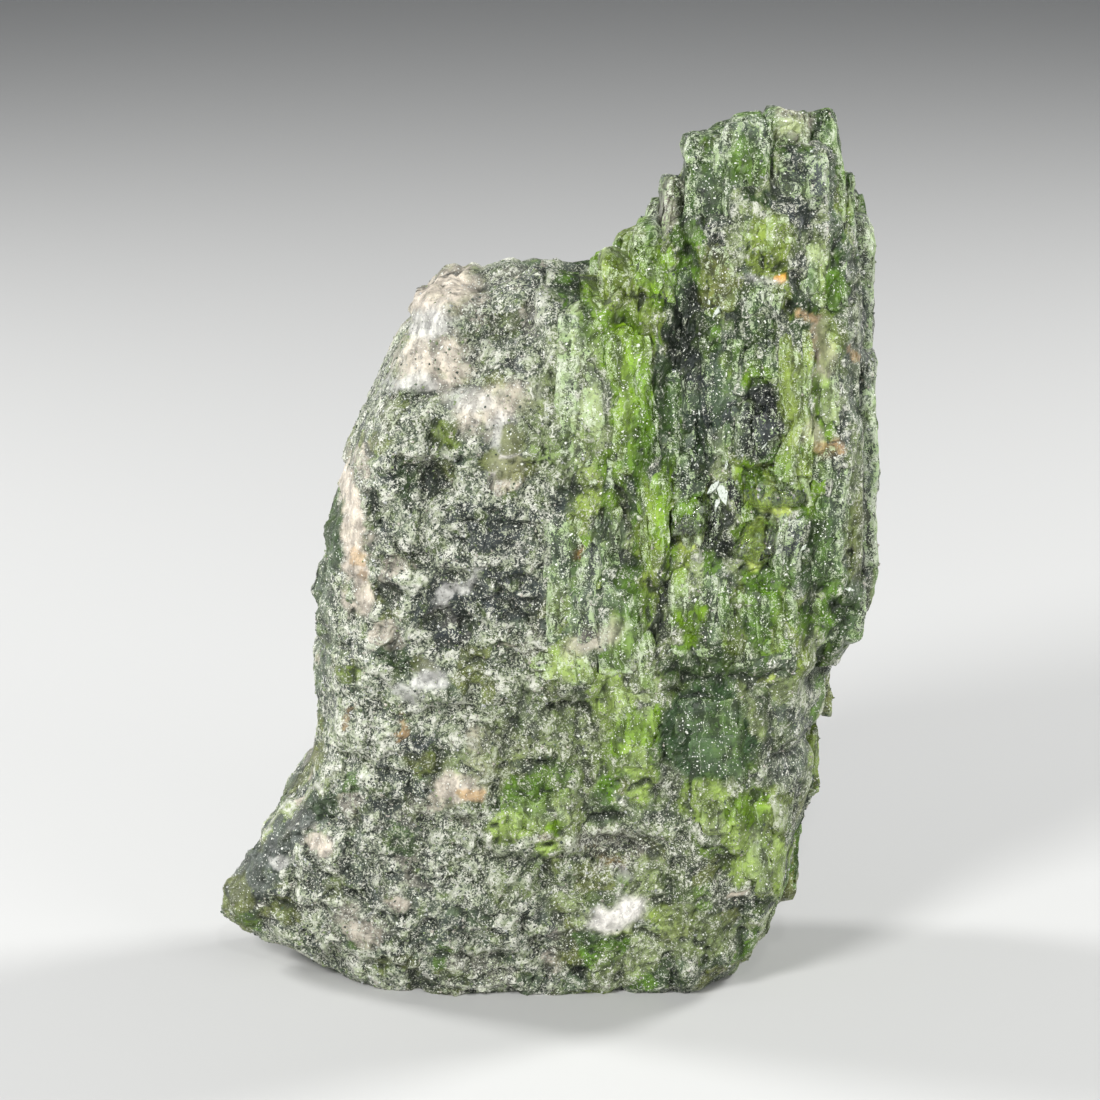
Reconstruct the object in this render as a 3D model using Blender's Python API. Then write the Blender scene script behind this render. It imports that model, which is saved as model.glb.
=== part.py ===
"""Chrome diopside crystal: blocky green columns grown together with a grained, pale matrix, as one broken piece.

Lengths in this file are millimetres until the mesh is made. x runs across the broad face, z runs up, and y runs
from the front (negative) to the back. The piece stands on the flat spot under its foot, at z = 0.
"""

import bmesh
import bpy
import numpy as np

MILLIMETRE = 0.001

# Outline of the broad face
LEFT_EDGE = [
    (-27.8, 4.6), (-27.5, 6.9), (-25.9, 8.9), (-24.5, 12.0), (-22.6, 14.4), (-20.4, 17.4),
    (-19.5, 20.7), (-19.8, 27.5), (-19.9, 31.0), (-18.8, 34.5), (-18.6, 38.5), (-17.3, 43.1),
    (-16.1, 46.9), (-14.7, 49.3), (-12.9, 53.3), (-11.7, 55.3), (-11.1, 57.8),
]
TOP_EDGE = [
    (-11.1, 57.8), (-9.5, 59.1), (-7.9, 59.6), (-5.6, 58.9), (-3.6, 59.8), (-1.3, 60.3), (2.2, 59.6),
    (3.9, 59.4), (4.8, 60.2), (6.2, 60.8), (7.0, 62.2), (8.2, 63.2), (9.4, 65.6), (10.4, 66.8),
    (11.2, 68.8), (12.6, 69.8), (13.6, 70.4), (15.2, 71.0), (17.8, 71.6), (20.9, 71.5), (22.4, 70.8),
]
RIGHT_EDGE = [
    (16.2, 0.6), (17.0, 2.7), (18.9, 4.9), (20.3, 8.8), (20.5, 12.0), (21.6, 15.5), (22.3, 18.0),
    (22.4, 20.2), (21.5, 21.9), (22.9, 23.8), (23.2, 26.3), (24.4, 28.0), (26.6, 30.3), (26.9, 33.3),
    (26.6, 37.0), (26.8, 45.0), (26.3, 54.5), (25.8, 59.5), (25.2, 64.2), (23.9, 66.5), (23.2, 68.4),
    (23.2, 69.8), (22.4, 70.8),
]
BOTTOM_EDGE = [
    (-27.8, 4.6), (-26.3, 2.7), (-24.0, 2.0), (-21.0, 1.1), (-18.0, 0.0), (-14.0, -2.2), (-8.0, -3.4),
    (0.0, -3.4), (8.0, -3.4), (12.0, -2.2), (14.5, -0.8), (16.2, 0.6),
]

# The two broad faces: grid, roundness of the rim and thickness on each side of the outline
GRID_ACROSS = 30
GRID_UP = 42
RIM_POWER_ACROSS = 3.4
RIM_POWER_UP = 4.0
RIM_BLEND = 3.0
FRONT_DEPTH = 12.8
BACK_DEPTH = 12.4
TOP_THINNING = 3.6
TOE_THINNING = 4.6
SHOULDER_THINNING = 2.2

# Lumps (+) and pits (-) of each face: x, z, half width, half height, height
FRONT_LUMPS = [
    (-8.0, 57.4, 4.2, 2.8, 1.4), (-8.6, 54.0, 3.4, 2.4, 0.7), (-5.0, 48.8, 4.0, 2.8, 0.9),
    (-12.6, 46.4, 3.0, 3.6, 0.7), (-1.6, 53.6, 2.6, 4.6, 0.6), (-9.0, 44.4, 1.9, 2.6, -1.3),
    (-13.2, 35.2, 2.2, 2.6, -1.3), (-8.3, 33.0, 3.6, 3.0, -1.8), (-2.6, 38.0, 4.4, 3.4, 0.8),
    (-14.4, 29.6, 3.0, 2.6, 0.8), (-9.4, 27.2, 3.4, 2.4, 0.9), (-15.2, 23.0, 3.6, 2.8, 0.7),
    (-7.0, 18.4, 3.0, 2.2, 0.8), (-11.6, 15.6, 3.2, 2.8, -0.8), (-17.6, 12.6, 3.2, 2.4, 0.7),
    (-12.4, 8.6, 4.0, 3.0, 0.9), (-4.4, 9.0, 4.4, 3.2, 0.7), (1.8, 26.0, 3.2, 2.4, -1.6),
    (-1.6, 23.0, 4.6, 4.2, -0.8), (5.2, 13.6, 5.2, 2.0, -1.9), (5.8, 8.0, 3.6, 2.6, 0.9),
    (11.0, 52.0, 3.0, 7.6, -1.6), (8.7, 34.0, 0.9, 4.6, -1.8), (12.6, 28.6, 5.4, 1.7, -2.2),
    (12.0, 8.4, 3.6, 3.2, 0.8), (17.3, 13.4, 1.5, 3.6, -1.7), (-25.4, 6.4, 2.2, 2.2, 1.0),
]
BACK_LUMPS = [
    (-9.0, 52.0, 4.6, 4.0, 1.1), (-1.0, 45.0, 4.0, 7.0, -1.3), (-13.0, 38.0, 4.0, 5.0, 0.9),
    (4.0, 30.0, 6.0, 4.0, 1.2), (14.0, 22.0, 5.0, 5.0, -1.5), (-8.0, 22.0, 6.0, 4.0, 1.1),
    (-18.0, 12.0, 4.0, 4.0, 0.8), (6.0, 12.0, 6.0, 4.0, 1.0), (-4.0, 9.0, 4.0, 3.0, -0.9),
    (20.0, 38.0, 4.0, 7.0, 0.8), (12.0, 60.0, 4.0, 6.0, -1.0), (-10.0, 30.0, 3.0, 3.0, -1.2),
]

# Flat broken faces that cut the rounded rim: x, z and depth of a point, slope across, slope up, and the
# lowest and highest z of the cut, past which it runs out at CUT_RELEASE
FRONT_CUTS = [
    (-17.6, 32.0, 8.4, 2.30, 0.02, 22.0, 46.0),
    (-20.2, 14.6, 8.4, 0.50, 0.10, 9.0, 21.0),
    (22.6, 20.0, 6.2, -1.90, 0.00, 8.0, 28.0),
    (-12.0, 54.6, 8.2, 0.55, -0.42, 44.0, 60.0),
    (4.0, 1.6, 11.8, 0.00, 0.50, 0.0, 6.0),
]
BACK_CUTS = [
    (-14.0, 32.0, 9.0, 0.80, 0.04, 18.0, 48.0),
    (19.0, 52.0, 8.4, -0.85, -0.06, 34.0, 70.0),
    (2.0, 58.0, 8.6, 0.05, -0.30, 44.0, 66.0),
    (8.0, 6.0, 9.4, -0.06, 0.55, 0.0, 16.0),
    (-18.0, 12.0, 7.0, 0.42, 0.12, 4.0, 20.0),
]
CUT_RELEASE = 1.1

# Broken texture: flat-topped grains set side by side, even ones in the matrix and tall ones in the green part
MATRIX_GRAIN = (4.8, 4.4)
CRYSTAL_GRAIN = (3.6, 9.5)
GRAIN_TILT = 0.17
GRAIN_HEIGHT = 1.5
GRAIN_SLOPE = 0.9
CRYSTAL_ZONE_X = 0.5
FRONT_SEED = 11
BACK_SEED = 23

# The same grains on the narrow sides and the top, mostly cut in from the outline
SIDE_SEED = 37
SIDE_CUT_IN = 0.75
SIDE_SHARPNESS = 8

# Crystals that stand out of the front, the top and the right side: left, right, foot, top, front, back, lean,
# foot taper, tip taper
FRONT_CRYSTALS = [
    (13.7, 17.5, 60.0, 73.0, -9.0, -3.2, 0.00, 1.0, 2.4),
    (17.0, 20.5, 62.0, 73.4, -8.2, -2.5, 0.00, 1.0, 1.3),
    (20.0, 23.1, 60.5, 73.2, -7.3, -2.1, 0.00, 1.0, 1.6),
    (10.5, 14.2, 58.3, 71.6, -8.7, -3.5, 0.01, 1.0, 1.8),
    (8.8, 10.7, 58.0, 68.1, -7.6, -2.6, 0.03, 1.0, 1.3),
    (6.5, 8.9, 56.0, 64.6, -8.4, -3.0, 0.03, 1.0, 1.2),
    (4.1, 6.7, 53.0, 62.0, -9.4, -3.4, 0.02, 1.0, 1.2),
    (17.9, 21.6, 65.4, 71.0, -9.6, -4.4, 0.00, 0.8, 0.9),
    (21.5, 24.2, 60.0, 68.4, -6.6, -1.8, -0.03, 1.0, 1.5),
    (22.9, 25.9, 50.0, 64.8, -5.8, -1.0, -0.02, 1.0, 1.8),
    (12.0, 15.1, 57.4, 63.8, -11.2, -2.0, 0.00, 1.6, 0.9),
    (15.3, 19.4, 61.0, 66.4, -11.0, -2.0, 0.02, 2.0, 0.9),
    (19.7, 21.7, 57.6, 64.4, -10.6, -2.0, 0.00, 0.8, 0.9),
    (21.6, 23.4, 57.2, 62.8, -9.8, -2.0, 0.00, 0.8, 0.9),
    (6.9, 9.8, 55.0, 63.6, -10.6, -2.0, 0.03, 0.8, 1.2),
    (9.6, 12.1, 53.4, 62.6, -10.0, -2.0, -0.02, 0.8, 1.2),
    (4.5, 8.6, 44.2, 57.4, -12.9, -2.0, -0.06, 1.6, 1.4),
    (0.4, 4.4, 44.6, 58.6, -12.3, -2.0, 0.02, 1.2, 1.6),
    (8.8, 12.2, 44.0, 54.6, -11.6, -2.0, 0.00, 1.2, 1.6),
    (12.1, 15.1, 46.4, 57.2, -12.2, -2.0, 0.00, 0.9, 0.9),
    (15.0, 18.1, 46.1, 52.1, -12.8, -2.0, 0.02, 1.7, 1.5),
    (15.1, 18.4, 52.4, 60.8, -11.9, -2.0, 0.00, 0.7, 1.0),
    (18.3, 20.7, 43.6, 57.2, -12.6, -2.0, -0.01, 1.0, 1.0),
    (20.5, 23.2, 48.4, 57.2, -11.2, -2.0, 0.00, 0.8, 1.0),
    (23.0, 26.4, 36.0, 52.0, -8.0, -3.2, 0.00, 1.2, 1.6),
    (7.0, 9.4, 36.8, 46.4, -13.6, -2.0, -0.02, 1.0, 1.0),
    (9.6, 12.8, 38.6, 44.2, -13.0, -2.0, 0.00, 0.8, 1.2),
    (12.9, 15.2, 37.6, 45.6, -12.4, -2.0, 0.02, 0.9, 1.0),
    (15.1, 19.7, 41.6, 46.0, -13.4, -2.0, 0.00, 0.8, 1.4),
    (15.0, 17.9, 37.0, 42.0, -13.9, -2.0, 0.02, 1.2, 1.0),
    (18.0, 20.4, 36.0, 42.4, -12.8, -2.0, 0.00, 0.8, 1.0),
    (20.2, 23.6, 35.0, 48.2, -11.9, -2.0, 0.00, 1.2, 1.0),
    (9.8, 14.8, 30.2, 38.8, -13.5, -2.0, 0.01, 0.9, 1.6),
    (15.0, 19.9, 29.4, 37.0, -13.2, -2.0, 0.00, 0.9, 1.0),
    (20.0, 25.4, 29.4, 35.2, -9.8, -2.6, 0.00, 1.2, 1.4),
    (4.0, 7.6, 28.4, 37.4, -13.9, -2.0, -0.01, 0.8, 1.6),
    (-0.2, 3.9, 30.8, 43.6, -13.6, -2.0, 0.00, 0.9, 1.6),
    (9.1, 17.2, 19.0, 27.2, -12.9, -2.0, 0.00, 0.5, 0.4),
    (12.1, 15.3, 14.4, 19.6, -13.9, -2.0, 0.02, 1.0, 0.8),
    (15.1, 18.2, 9.8, 18.4, -12.2, -2.0, 0.06, 1.2, 1.0),
    (5.0, 8.8, 20.4, 28.2, -14.1, -2.0, 0.00, 1.0, 0.8),
    (-3.8, 1.8, 14.0, 19.8, -14.1, -2.0, 0.03, 2.2, 1.2),
    (-1.3, 3.5, 28.0, 31.4, -14.3, -2.0, 0.00, 0.7, 1.0),
    (14.8, 18.8, 2.6, 9.8, -7.6, 2.0, 0.14, 1.8, 1.0),
    (12.6, 16.0, 58.0, 71.4, -4.1, 1.5, 0.00, 1.0, 1.6),
    (16.1, 19.4, 60.0, 72.3, -3.4, 2.1, 0.01, 1.0, 1.2),
    (19.5, 22.6, 58.0, 71.8, -2.9, 2.4, 0.00, 1.0, 1.4),
    (8.9, 12.5, 56.0, 67.4, -3.9, 1.8, 0.02, 1.0, 1.2),
    (5.2, 8.8, 54.0, 62.8, -3.9, 2.5, 0.02, 1.0, 1.4),
    (22.4, 25.6, 48.0, 66.2, -1.6, 2.8, -0.02, 1.0, 1.8),
    (23.2, 26.7, 38.0, 53.5, -3.4, 1.2, 0.00, 1.4, 1.4),
    (11.4, 14.8, 56.0, 69.2, 1.2, 5.8, 0.00, 1.0, 1.8),
    (14.9, 18.0, 56.0, 70.8, 1.8, 6.4, 0.01, 1.0, 1.4),
    (18.1, 21.6, 58.0, 69.6, 2.0, 6.0, 0.00, 1.0, 1.2),
    (7.8, 11.3, 52.0, 64.6, 1.6, 6.6, 0.02, 1.0, 1.6),
    (21.7, 24.5, 46.0, 63.2, 2.6, 6.8, -0.01, 1.0, 1.4),
    (22.6, 26.0, 34.0, 50.4, 1.0, 5.8, 0.00, 1.2, 1.2),
    (3.4, 7.2, 50.0, 60.0, 2.2, 7.0, 0.00, 1.2, 1.4),
    (19.0, 22.2, 15.0, 21.6, -5.4, 0.2, 0.00, 1.2, 1.0),
    (17.6, 20.9, 5.4, 14.4, -4.6, 1.0, 0.06, 1.4, 1.2),
    (18.8, 21.9, 10.6, 19.4, 0.4, 5.0, 0.02, 1.2, 1.0),
    (20.4, 23.4, 22.4, 28.6, -4.6, 0.6, 0.02, 1.0, 1.0),
    (20.0, 22.8, 19.4, 27.4, 0.8, 5.4, 0.01, 1.0, 1.2),
]
# Crystals of the back: the same nine values
BACK_CRYSTALS = [
    (13.0, 16.4, 54.0, 69.0, 0.0, 9.0, 0.00, 1.0, 2.0),
    (17.0, 21.2, 48.0, 70.4, 0.0, 8.8, 0.01, 1.2, 2.0),
    (8.4, 12.4, 46.0, 64.0, 0.0, 11.2, 0.02, 1.2, 1.6),
    (4.2, 7.8, 38.0, 57.0, 0.0, 12.9, -0.03, 1.4, 1.6),
    (20.2, 24.2, 30.0, 50.0, 0.0, 10.6, 0.00, 1.2, 1.2),
    (13.6, 19.4, 31.0, 46.0, 0.0, 13.6, 0.00, 1.0, 1.4),
    (9.0, 12.6, 22.0, 38.0, 0.0, 14.0, 0.01, 1.2, 1.4),
    (14.0, 18.6, 12.0, 26.4, 0.0, 12.6, 0.02, 1.2, 1.4),
    (-7.6, -3.4, 26.0, 40.0, 0.0, 13.8, -0.02, 1.6, 1.6),
]
CORNER_CUT = 0.30
TIP_SCALE_ACROSS = 0.72
TIP_SCALE_DEEP = 0.55
MOST_TURN = 0.16
MOST_TIP_SLOPE = 0.30
WELD_DISTANCE = 0.004

MATERIAL_COLOUR = (0.16, 0.22, 0.13, 1.0)
MATERIAL_ROUGHNESS = 0.55


def clear_scene():
    for thing in list(bpy.data.objects):
        bpy.data.objects.remove(thing, do_unlink=True)


def along(points, share):
    """Points of an open outline at these shares of its length."""
    corners = np.array(points, dtype=float)
    steps = np.hypot(*np.diff(corners, axis=0).T)
    reached = np.concatenate([[0.0], np.cumsum(steps)])
    reached /= reached[-1]
    return np.stack([np.interp(share, reached, corners[:, i]) for i in range(2)], axis=-1)


def outline_patch(across, up):
    """x and z inside the four edges: the two ruled blends of opposite edges, less the blend of the corners."""
    u = across[:, None, None]
    v = up[None, :, None]
    bottom, top = along(BOTTOM_EDGE, across)[:, None], along(TOP_EDGE, across)[:, None]
    left, right = along(LEFT_EDGE, up)[None], along(RIGHT_EDGE, up)[None]
    ruled = (1 - v) * bottom + v * top + (1 - u) * left + u * right
    corners = (
        (1 - u) * (1 - v) * bottom[:1]
        + u * (1 - v) * bottom[-1:]
        + (1 - u) * v * top[:1]
        + u * v * top[-1:]
    )
    return np.moveaxis(ruled - corners, -1, 0)


def smooth_step(value):
    t = np.clip(value, 0.0, 1.0)
    return t * t * (3 - 2 * t)


def rim_round(across, up):
    """0 on the rim and 1 over most of the face: the smaller of two superellipses, blended where they meet."""
    over = 1 - np.abs(2 * across[:, None] - 1) ** RIM_POWER_ACROSS
    high = 1 - np.abs(2 * up[None, :] - 1) ** RIM_POWER_UP
    over = np.clip(over, 1e-9, 1) ** (-RIM_BLEND / RIM_POWER_ACROSS)
    high = np.clip(high, 1e-9, 1) ** (-RIM_BLEND / RIM_POWER_UP)
    return (over + high - 1) ** (-1 / RIM_BLEND)


def thickness(x, z, most):
    """How far a face stands off the outline's plane, thinner at the top, the shoulder and the toe."""
    top = TOP_THINNING * smooth_step((z - 44) / 30)
    toe = TOE_THINNING * smooth_step((-12 - x) / 16)
    shoulder = SHOULDER_THINNING * smooth_step((z - 42) / 18) * smooth_step((2 - x) / 12)
    return most - top - toe - shoulder


def lumps(x, z, rows):
    total = np.zeros_like(x)
    for middle_x, middle_z, half_x, half_z, height in rows:
        reach = ((x - middle_x) / half_x) ** 2 + ((z - middle_z) / half_z) ** 2
        total += height * np.clip(1 - reach, 0, 1) ** 1.5
    return total


def grains(x, z, size, seed):
    """The highest of many flat-topped grains: each top is a tilted plane, and its sides fall off steeply."""
    wide, tall = size
    random = np.random.default_rng(seed)
    columns, rows = np.meshgrid(np.arange(-32, 33, wide), np.arange(-8, 82, tall))
    count = columns.size
    middle_x = columns.ravel() + random.uniform(-0.4, 0.4, count) * wide
    middle_z = rows.ravel() + random.uniform(-0.4, 0.4, count) * tall
    tilt_x, tilt_z = random.uniform(-GRAIN_TILT, GRAIN_TILT, (2, count))
    top = random.uniform(0.15, 1.0, count) * GRAIN_HEIGHT
    highest = np.zeros_like(x)
    for i in range(count):
        over, high = x - middle_x[i], z - middle_z[i]
        side = np.minimum(wide * 0.66 - np.abs(over), tall * 0.66 - np.abs(high))
        grain = np.minimum(top[i] + tilt_x[i] * over + tilt_z[i] * high, GRAIN_SLOPE * side)
        highest = np.maximum(highest, grain)
    return highest


def crystal_share(x):
    return smooth_step((x - CRYSTAL_ZONE_X) / 2 + 0.5)


def inside_share(round_off):
    """1 on the broad faces, falling to 0 on the narrow sides."""
    return smooth_step(round_off * 1.8 - 0.45)


def texture(x, z, seed):
    matrix = grains(x, z, MATRIX_GRAIN, seed)
    crystal = grains(x, z, CRYSTAL_GRAIN, seed + 1)
    return matrix + crystal_share(x) * (crystal - matrix) - GRAIN_HEIGHT / 2


def outward(across, up, x, z):
    """The way out of the outline near its rim, and none in the middle of the face."""
    toward = []
    for share, axis in ((2 * across[:, None] - 1, 0), (2 * up[None, :] - 1, 1)):
        step_x, step_z = np.gradient(x, axis=axis), np.gradient(z, axis=axis)
        length = np.hypot(step_x, step_z) + 1e-9
        weight = np.sign(share) * np.abs(share) ** SIDE_SHARPNESS
        toward.append((weight * step_x / length, weight * step_z / length))
    over, high = toward[0][0] + toward[1][0], toward[0][1] + toward[1][1]
    length = np.hypot(over, high) + 1e-3
    return over / length, high / length


def side_steps(x, y, z, round_off, over, high):
    """How far a point of the narrow sides moves outward: grains laid along y and z there, and along x and y on top."""
    matrix = grains(y, z, MATRIX_GRAIN, SIDE_SEED)
    crystal = grains(y, z, CRYSTAL_GRAIN, SIDE_SEED + 1)
    flank = matrix + crystal_share(x) * (crystal - matrix)
    crown = grains(x, y, MATRIX_GRAIN, SIDE_SEED + 2)
    steps = over ** 2 * flank + high ** 2 * crown - SIDE_CUT_IN * GRAIN_HEIGHT
    return (1 - inside_share(round_off)) * steps


def face_depth(x, z, round_off, most, lump_rows, cut_rows, seed):
    """Distance of a broad face from the outline's plane."""
    depth = thickness(x, z, most) * round_off
    for point_x, point_z, point_depth, across, up, low, high in cut_rows:
        cut = point_depth + across * (x - point_x) + up * (z - point_z)
        cut += CUT_RELEASE * np.maximum(0, np.maximum(low - z, z - high))
        depth = np.minimum(depth, np.maximum(cut, 0.4 * depth))
    depth += inside_share(round_off) * (lumps(x, z, lump_rows) + texture(x, z, seed))
    return depth * (round_off > 0.01)


def body_mesh():
    """Front and back face on one grid, joined along the rim, then cut flat underneath."""
    across = 0.5 - 0.5 * np.cos(np.pi * np.linspace(0, 1, GRID_ACROSS + 1))
    up = 0.5 - 0.5 * np.cos(np.pi * np.linspace(0, 1, GRID_UP + 1))
    x, z = outline_patch(across, up)
    round_off = rim_round(across, up)
    front = -face_depth(x, z, round_off, FRONT_DEPTH, FRONT_LUMPS, FRONT_CUTS, FRONT_SEED)
    back = face_depth(x, z, round_off, BACK_DEPTH, BACK_LUMPS, BACK_CUTS, BACK_SEED)
    over, high = outward(across, up, x, z)
    faces = []
    for y in (front, back):
        steps = side_steps(x, y, z, round_off, over, high)
        faces.append(np.stack([x + over * steps, y, z + high * steps], axis=-1))

    bm = bmesh.new()
    shape = x.shape
    front_verts = [[bm.verts.new(faces[0][i, j]) for j in range(shape[1])] for i in range(shape[0])]
    back_verts = [
        [
            front_verts[i][j]
            if i in (0, shape[0] - 1) or j in (0, shape[1] - 1)
            else bm.verts.new(faces[1][i, j])
            for j in range(shape[1])
        ]
        for i in range(shape[0])
    ]
    for i in range(GRID_ACROSS):
        for j in range(GRID_UP):
            for side in (front_verts, back_verts):
                corners = [side[i][j], side[i + 1][j], side[i + 1][j + 1], side[i][j + 1]]
                bm.faces.new(corners if side is front_verts else corners[::-1])
    everything = bm.verts[:] + bm.edges[:] + bm.faces[:]
    bmesh.ops.bisect_plane(bm, geom=everything, plane_co=(0, 0, 0), plane_no=(0, 0, 1), clear_inner=True)
    rim = [edge for edge in bm.edges if edge.is_boundary]
    bmesh.ops.edgeloop_fill(bm, edges=rim)
    bmesh.ops.triangulate(bm, faces=bm.faces[:])
    bmesh.ops.recalc_face_normals(bm, faces=bm.faces[:])
    return finish_mesh(bm, "diopside_crystal")


def finish_mesh(bm, name):
    bmesh.ops.scale(bm, vec=(MILLIMETRE,) * 3, verts=bm.verts[:])
    mesh = bpy.data.meshes.new(name)
    bm.to_mesh(mesh)
    bm.free()
    return mesh


def crystal_mesh(number, left, right, foot, top, front, back, lean, foot_taper, tip_taper):
    """An eight-sided column from foot to top, drawn in over its foot taper and its tip taper.

    Its number turns it a little about its own length and slopes its tip, so that no two stand alike.
    """
    half_x, half_y = (right - left) / 2, (back - front) / 2
    cut = CORNER_CUT * min(half_x, half_y)
    flat_x, flat_y = half_x - cut, half_y - cut
    section = [
        (-flat_x, -half_y), (flat_x, -half_y), (half_x, -flat_y), (half_x, flat_y),
        (flat_x, half_y), (-flat_x, half_y), (-half_x, flat_y), (-half_x, -flat_y),
    ]
    levels = [
        (foot, TIP_SCALE_ACROSS, TIP_SCALE_DEEP),
        (foot + foot_taper, 1.0, 1.0),
        (top - tip_taper, 1.0, 1.0),
        (top, TIP_SCALE_ACROSS, TIP_SCALE_DEEP),
    ]
    middle_x, middle_y, middle_z = (left + right) / 2, (front + back) / 2, (foot + top) / 2
    turn = MOST_TURN * half_x / half_y * np.sin(2.3 * number)
    slope = MOST_TIP_SLOPE * np.sin(3.7 * number + 1)
    bm = bmesh.new()
    rings = [
        [
            bm.verts.new((
                middle_x + lean * (z - middle_z) + x * over - turn * y,
                middle_y + y * deep + turn * x,
                z + slope * x * over * (z > middle_z),
            ))
            for x, y in section
        ]
        for z, over, deep in levels
    ]
    for lower, upper in zip(rings, rings[1:]):
        for i in range(len(section)):
            j = (i + 1) % len(section)
            bm.faces.new((lower[i], lower[j], upper[j], upper[i]))
    bm.faces.new(rings[0][::-1])
    bm.faces.new(rings[-1])
    bmesh.ops.recalc_face_normals(bm, faces=bm.faces[:])
    return finish_mesh(bm, f"crystal_{number:02d}")


def crystal_collection():
    """The single crystals, kept as hidden helpers that the body is joined with."""
    crystals = bpy.data.collections.new("crystals")
    bpy.context.scene.collection.children.link(crystals)
    for number, row in enumerate(FRONT_CRYSTALS + BACK_CRYSTALS):
        mesh = crystal_mesh(number, *row)
        helper = bpy.data.objects.new(mesh.name, mesh)
        helper.hide_render = True
        helper.display_type = "WIRE"
        crystals.objects.link(helper)
    return crystals


def diopside_material():
    material = bpy.data.materials.new("diopside")
    material.use_nodes = True
    shader = material.node_tree.nodes["Principled BSDF"]
    shader.inputs["Base Color"].default_value = MATERIAL_COLOUR
    shader.inputs["Roughness"].default_value = MATERIAL_ROUGHNESS
    shader.inputs["Metallic"].default_value = 0.0
    return material


def weld(mesh):
    """Merges the very short edges that a union leaves where two crystals just cross."""
    bm = bmesh.new()
    bm.from_mesh(mesh)
    bmesh.ops.triangulate(bm, faces=bm.faces[:])
    bmesh.ops.remove_doubles(bm, verts=bm.verts[:], dist=WELD_DISTANCE * MILLIMETRE)
    bmesh.ops.dissolve_degenerate(bm, edges=bm.edges[:], dist=WELD_DISTANCE * MILLIMETRE)
    bmesh.ops.triangulate(bm, faces=bm.faces[:])
    bm.to_mesh(mesh)
    bm.free()


def stand_on_centre(mesh):
    """Moves the mesh so that the middle of its box is over the origin and its foot is at z = 0."""
    points = np.empty(len(mesh.vertices) * 3)
    mesh.vertices.foreach_get("co", points)
    points = points.reshape(-1, 3)
    low, high = points.min(axis=0), points.max(axis=0)
    points -= ((low[0] + high[0]) / 2, (low[1] + high[1]) / 2, low[2])
    mesh.vertices.foreach_set("co", points.ravel())
    mesh.update()


def main():
    clear_scene()
    rock = bpy.data.objects.new("diopside_crystal", body_mesh())
    bpy.context.scene.collection.objects.link(rock)
    join = rock.modifiers.new("grown_together", "BOOLEAN")
    join.operation = "UNION"
    join.solver = "EXACT"
    join.operand_type = "COLLECTION"
    join.collection = crystal_collection()

    graph = bpy.context.evaluated_depsgraph_get()
    joined = bpy.data.meshes.new_from_object(rock.evaluated_get(graph))
    rock.modifiers.remove(join)
    rock.data = joined
    joined.name = "diopside_crystal"
    weld(joined)
    stand_on_centre(joined)
    joined.materials.clear()
    joined.materials.append(diopside_material())


main()
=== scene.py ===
import math

import bpy
import numpy as np
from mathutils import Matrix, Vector


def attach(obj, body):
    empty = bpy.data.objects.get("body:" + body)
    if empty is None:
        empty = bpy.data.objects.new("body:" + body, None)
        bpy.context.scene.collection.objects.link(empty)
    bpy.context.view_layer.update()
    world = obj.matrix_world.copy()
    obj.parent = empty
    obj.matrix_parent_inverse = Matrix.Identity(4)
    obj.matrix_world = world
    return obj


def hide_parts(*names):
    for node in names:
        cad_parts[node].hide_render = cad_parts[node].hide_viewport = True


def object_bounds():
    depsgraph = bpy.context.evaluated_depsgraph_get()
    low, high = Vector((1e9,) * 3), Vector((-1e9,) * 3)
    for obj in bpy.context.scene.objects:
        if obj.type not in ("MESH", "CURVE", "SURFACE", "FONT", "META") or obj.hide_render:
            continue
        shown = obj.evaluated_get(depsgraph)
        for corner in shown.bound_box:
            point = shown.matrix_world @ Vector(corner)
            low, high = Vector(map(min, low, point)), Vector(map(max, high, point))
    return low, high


# Lengths below are millimetres on the piece: x across the broad face, y from front to back, z up.
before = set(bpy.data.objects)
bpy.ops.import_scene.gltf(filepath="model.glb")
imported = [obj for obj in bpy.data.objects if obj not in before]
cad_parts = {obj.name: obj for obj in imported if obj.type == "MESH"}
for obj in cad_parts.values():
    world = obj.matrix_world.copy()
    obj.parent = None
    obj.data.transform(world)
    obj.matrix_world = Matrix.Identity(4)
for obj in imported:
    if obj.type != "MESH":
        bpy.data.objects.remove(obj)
cadLow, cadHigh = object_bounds()
mm = 0.001
towards = {"front": -1, "back": 1}  # the way along y that each broad face looks
print("frame loaded")


# noise and grains

def hashUnit(ix, iy, iz, seed):
    # a number in 0..1 for each cell, from whole-number mixing of its place
    mixed = (ix * 374761393 + iy * 668265263 + iz * 1440662683 + seed * 974634777) & 0xFFFFFFFF
    mixed = ((mixed ^ (mixed >> 13)) * 1274126177) & 0xFFFFFFFF
    mixed = ((mixed ^ (mixed >> 15)) * 2246822519) & 0xFFFFFFFF
    return (mixed ^ (mixed >> 16)) / 4294967295.0


def softNoise(x, y, z, size, seed):
    # cell values blended over each cell of this size, from -1 to 1
    gx, gy, gz = x / size, y / size, z / size
    ix, iy, iz = (np.floor(g).astype(np.int64) for g in (gx, gy, gz))
    fx, fy, fz = gx - ix, gy - iy, gz - iz
    fx, fy, fz = (f * f * (3 - 2 * f) for f in (fx, fy, fz))
    total = 0.0
    for dx in (0, 1):
        for dy in (0, 1):
            for dz in (0, 1):
                share = (fx if dx else 1 - fx) * (fy if dy else 1 - fy) * (fz if dz else 1 - fz)
                total = total + share * hashUnit(ix + dx, iy + dy, iz + dz, seed)
    return 2 * total - 1


def drift(places, by, seed):
    # noise of this amount and size at each place
    amount, size = by
    return amount * softNoise(*places, size, seed)


def moved(values, places, by, seed):
    # each axis of the values moved by a noise of its own
    return [value + drift(places, by, seed + axis) for axis, value in enumerate(values)]


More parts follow.
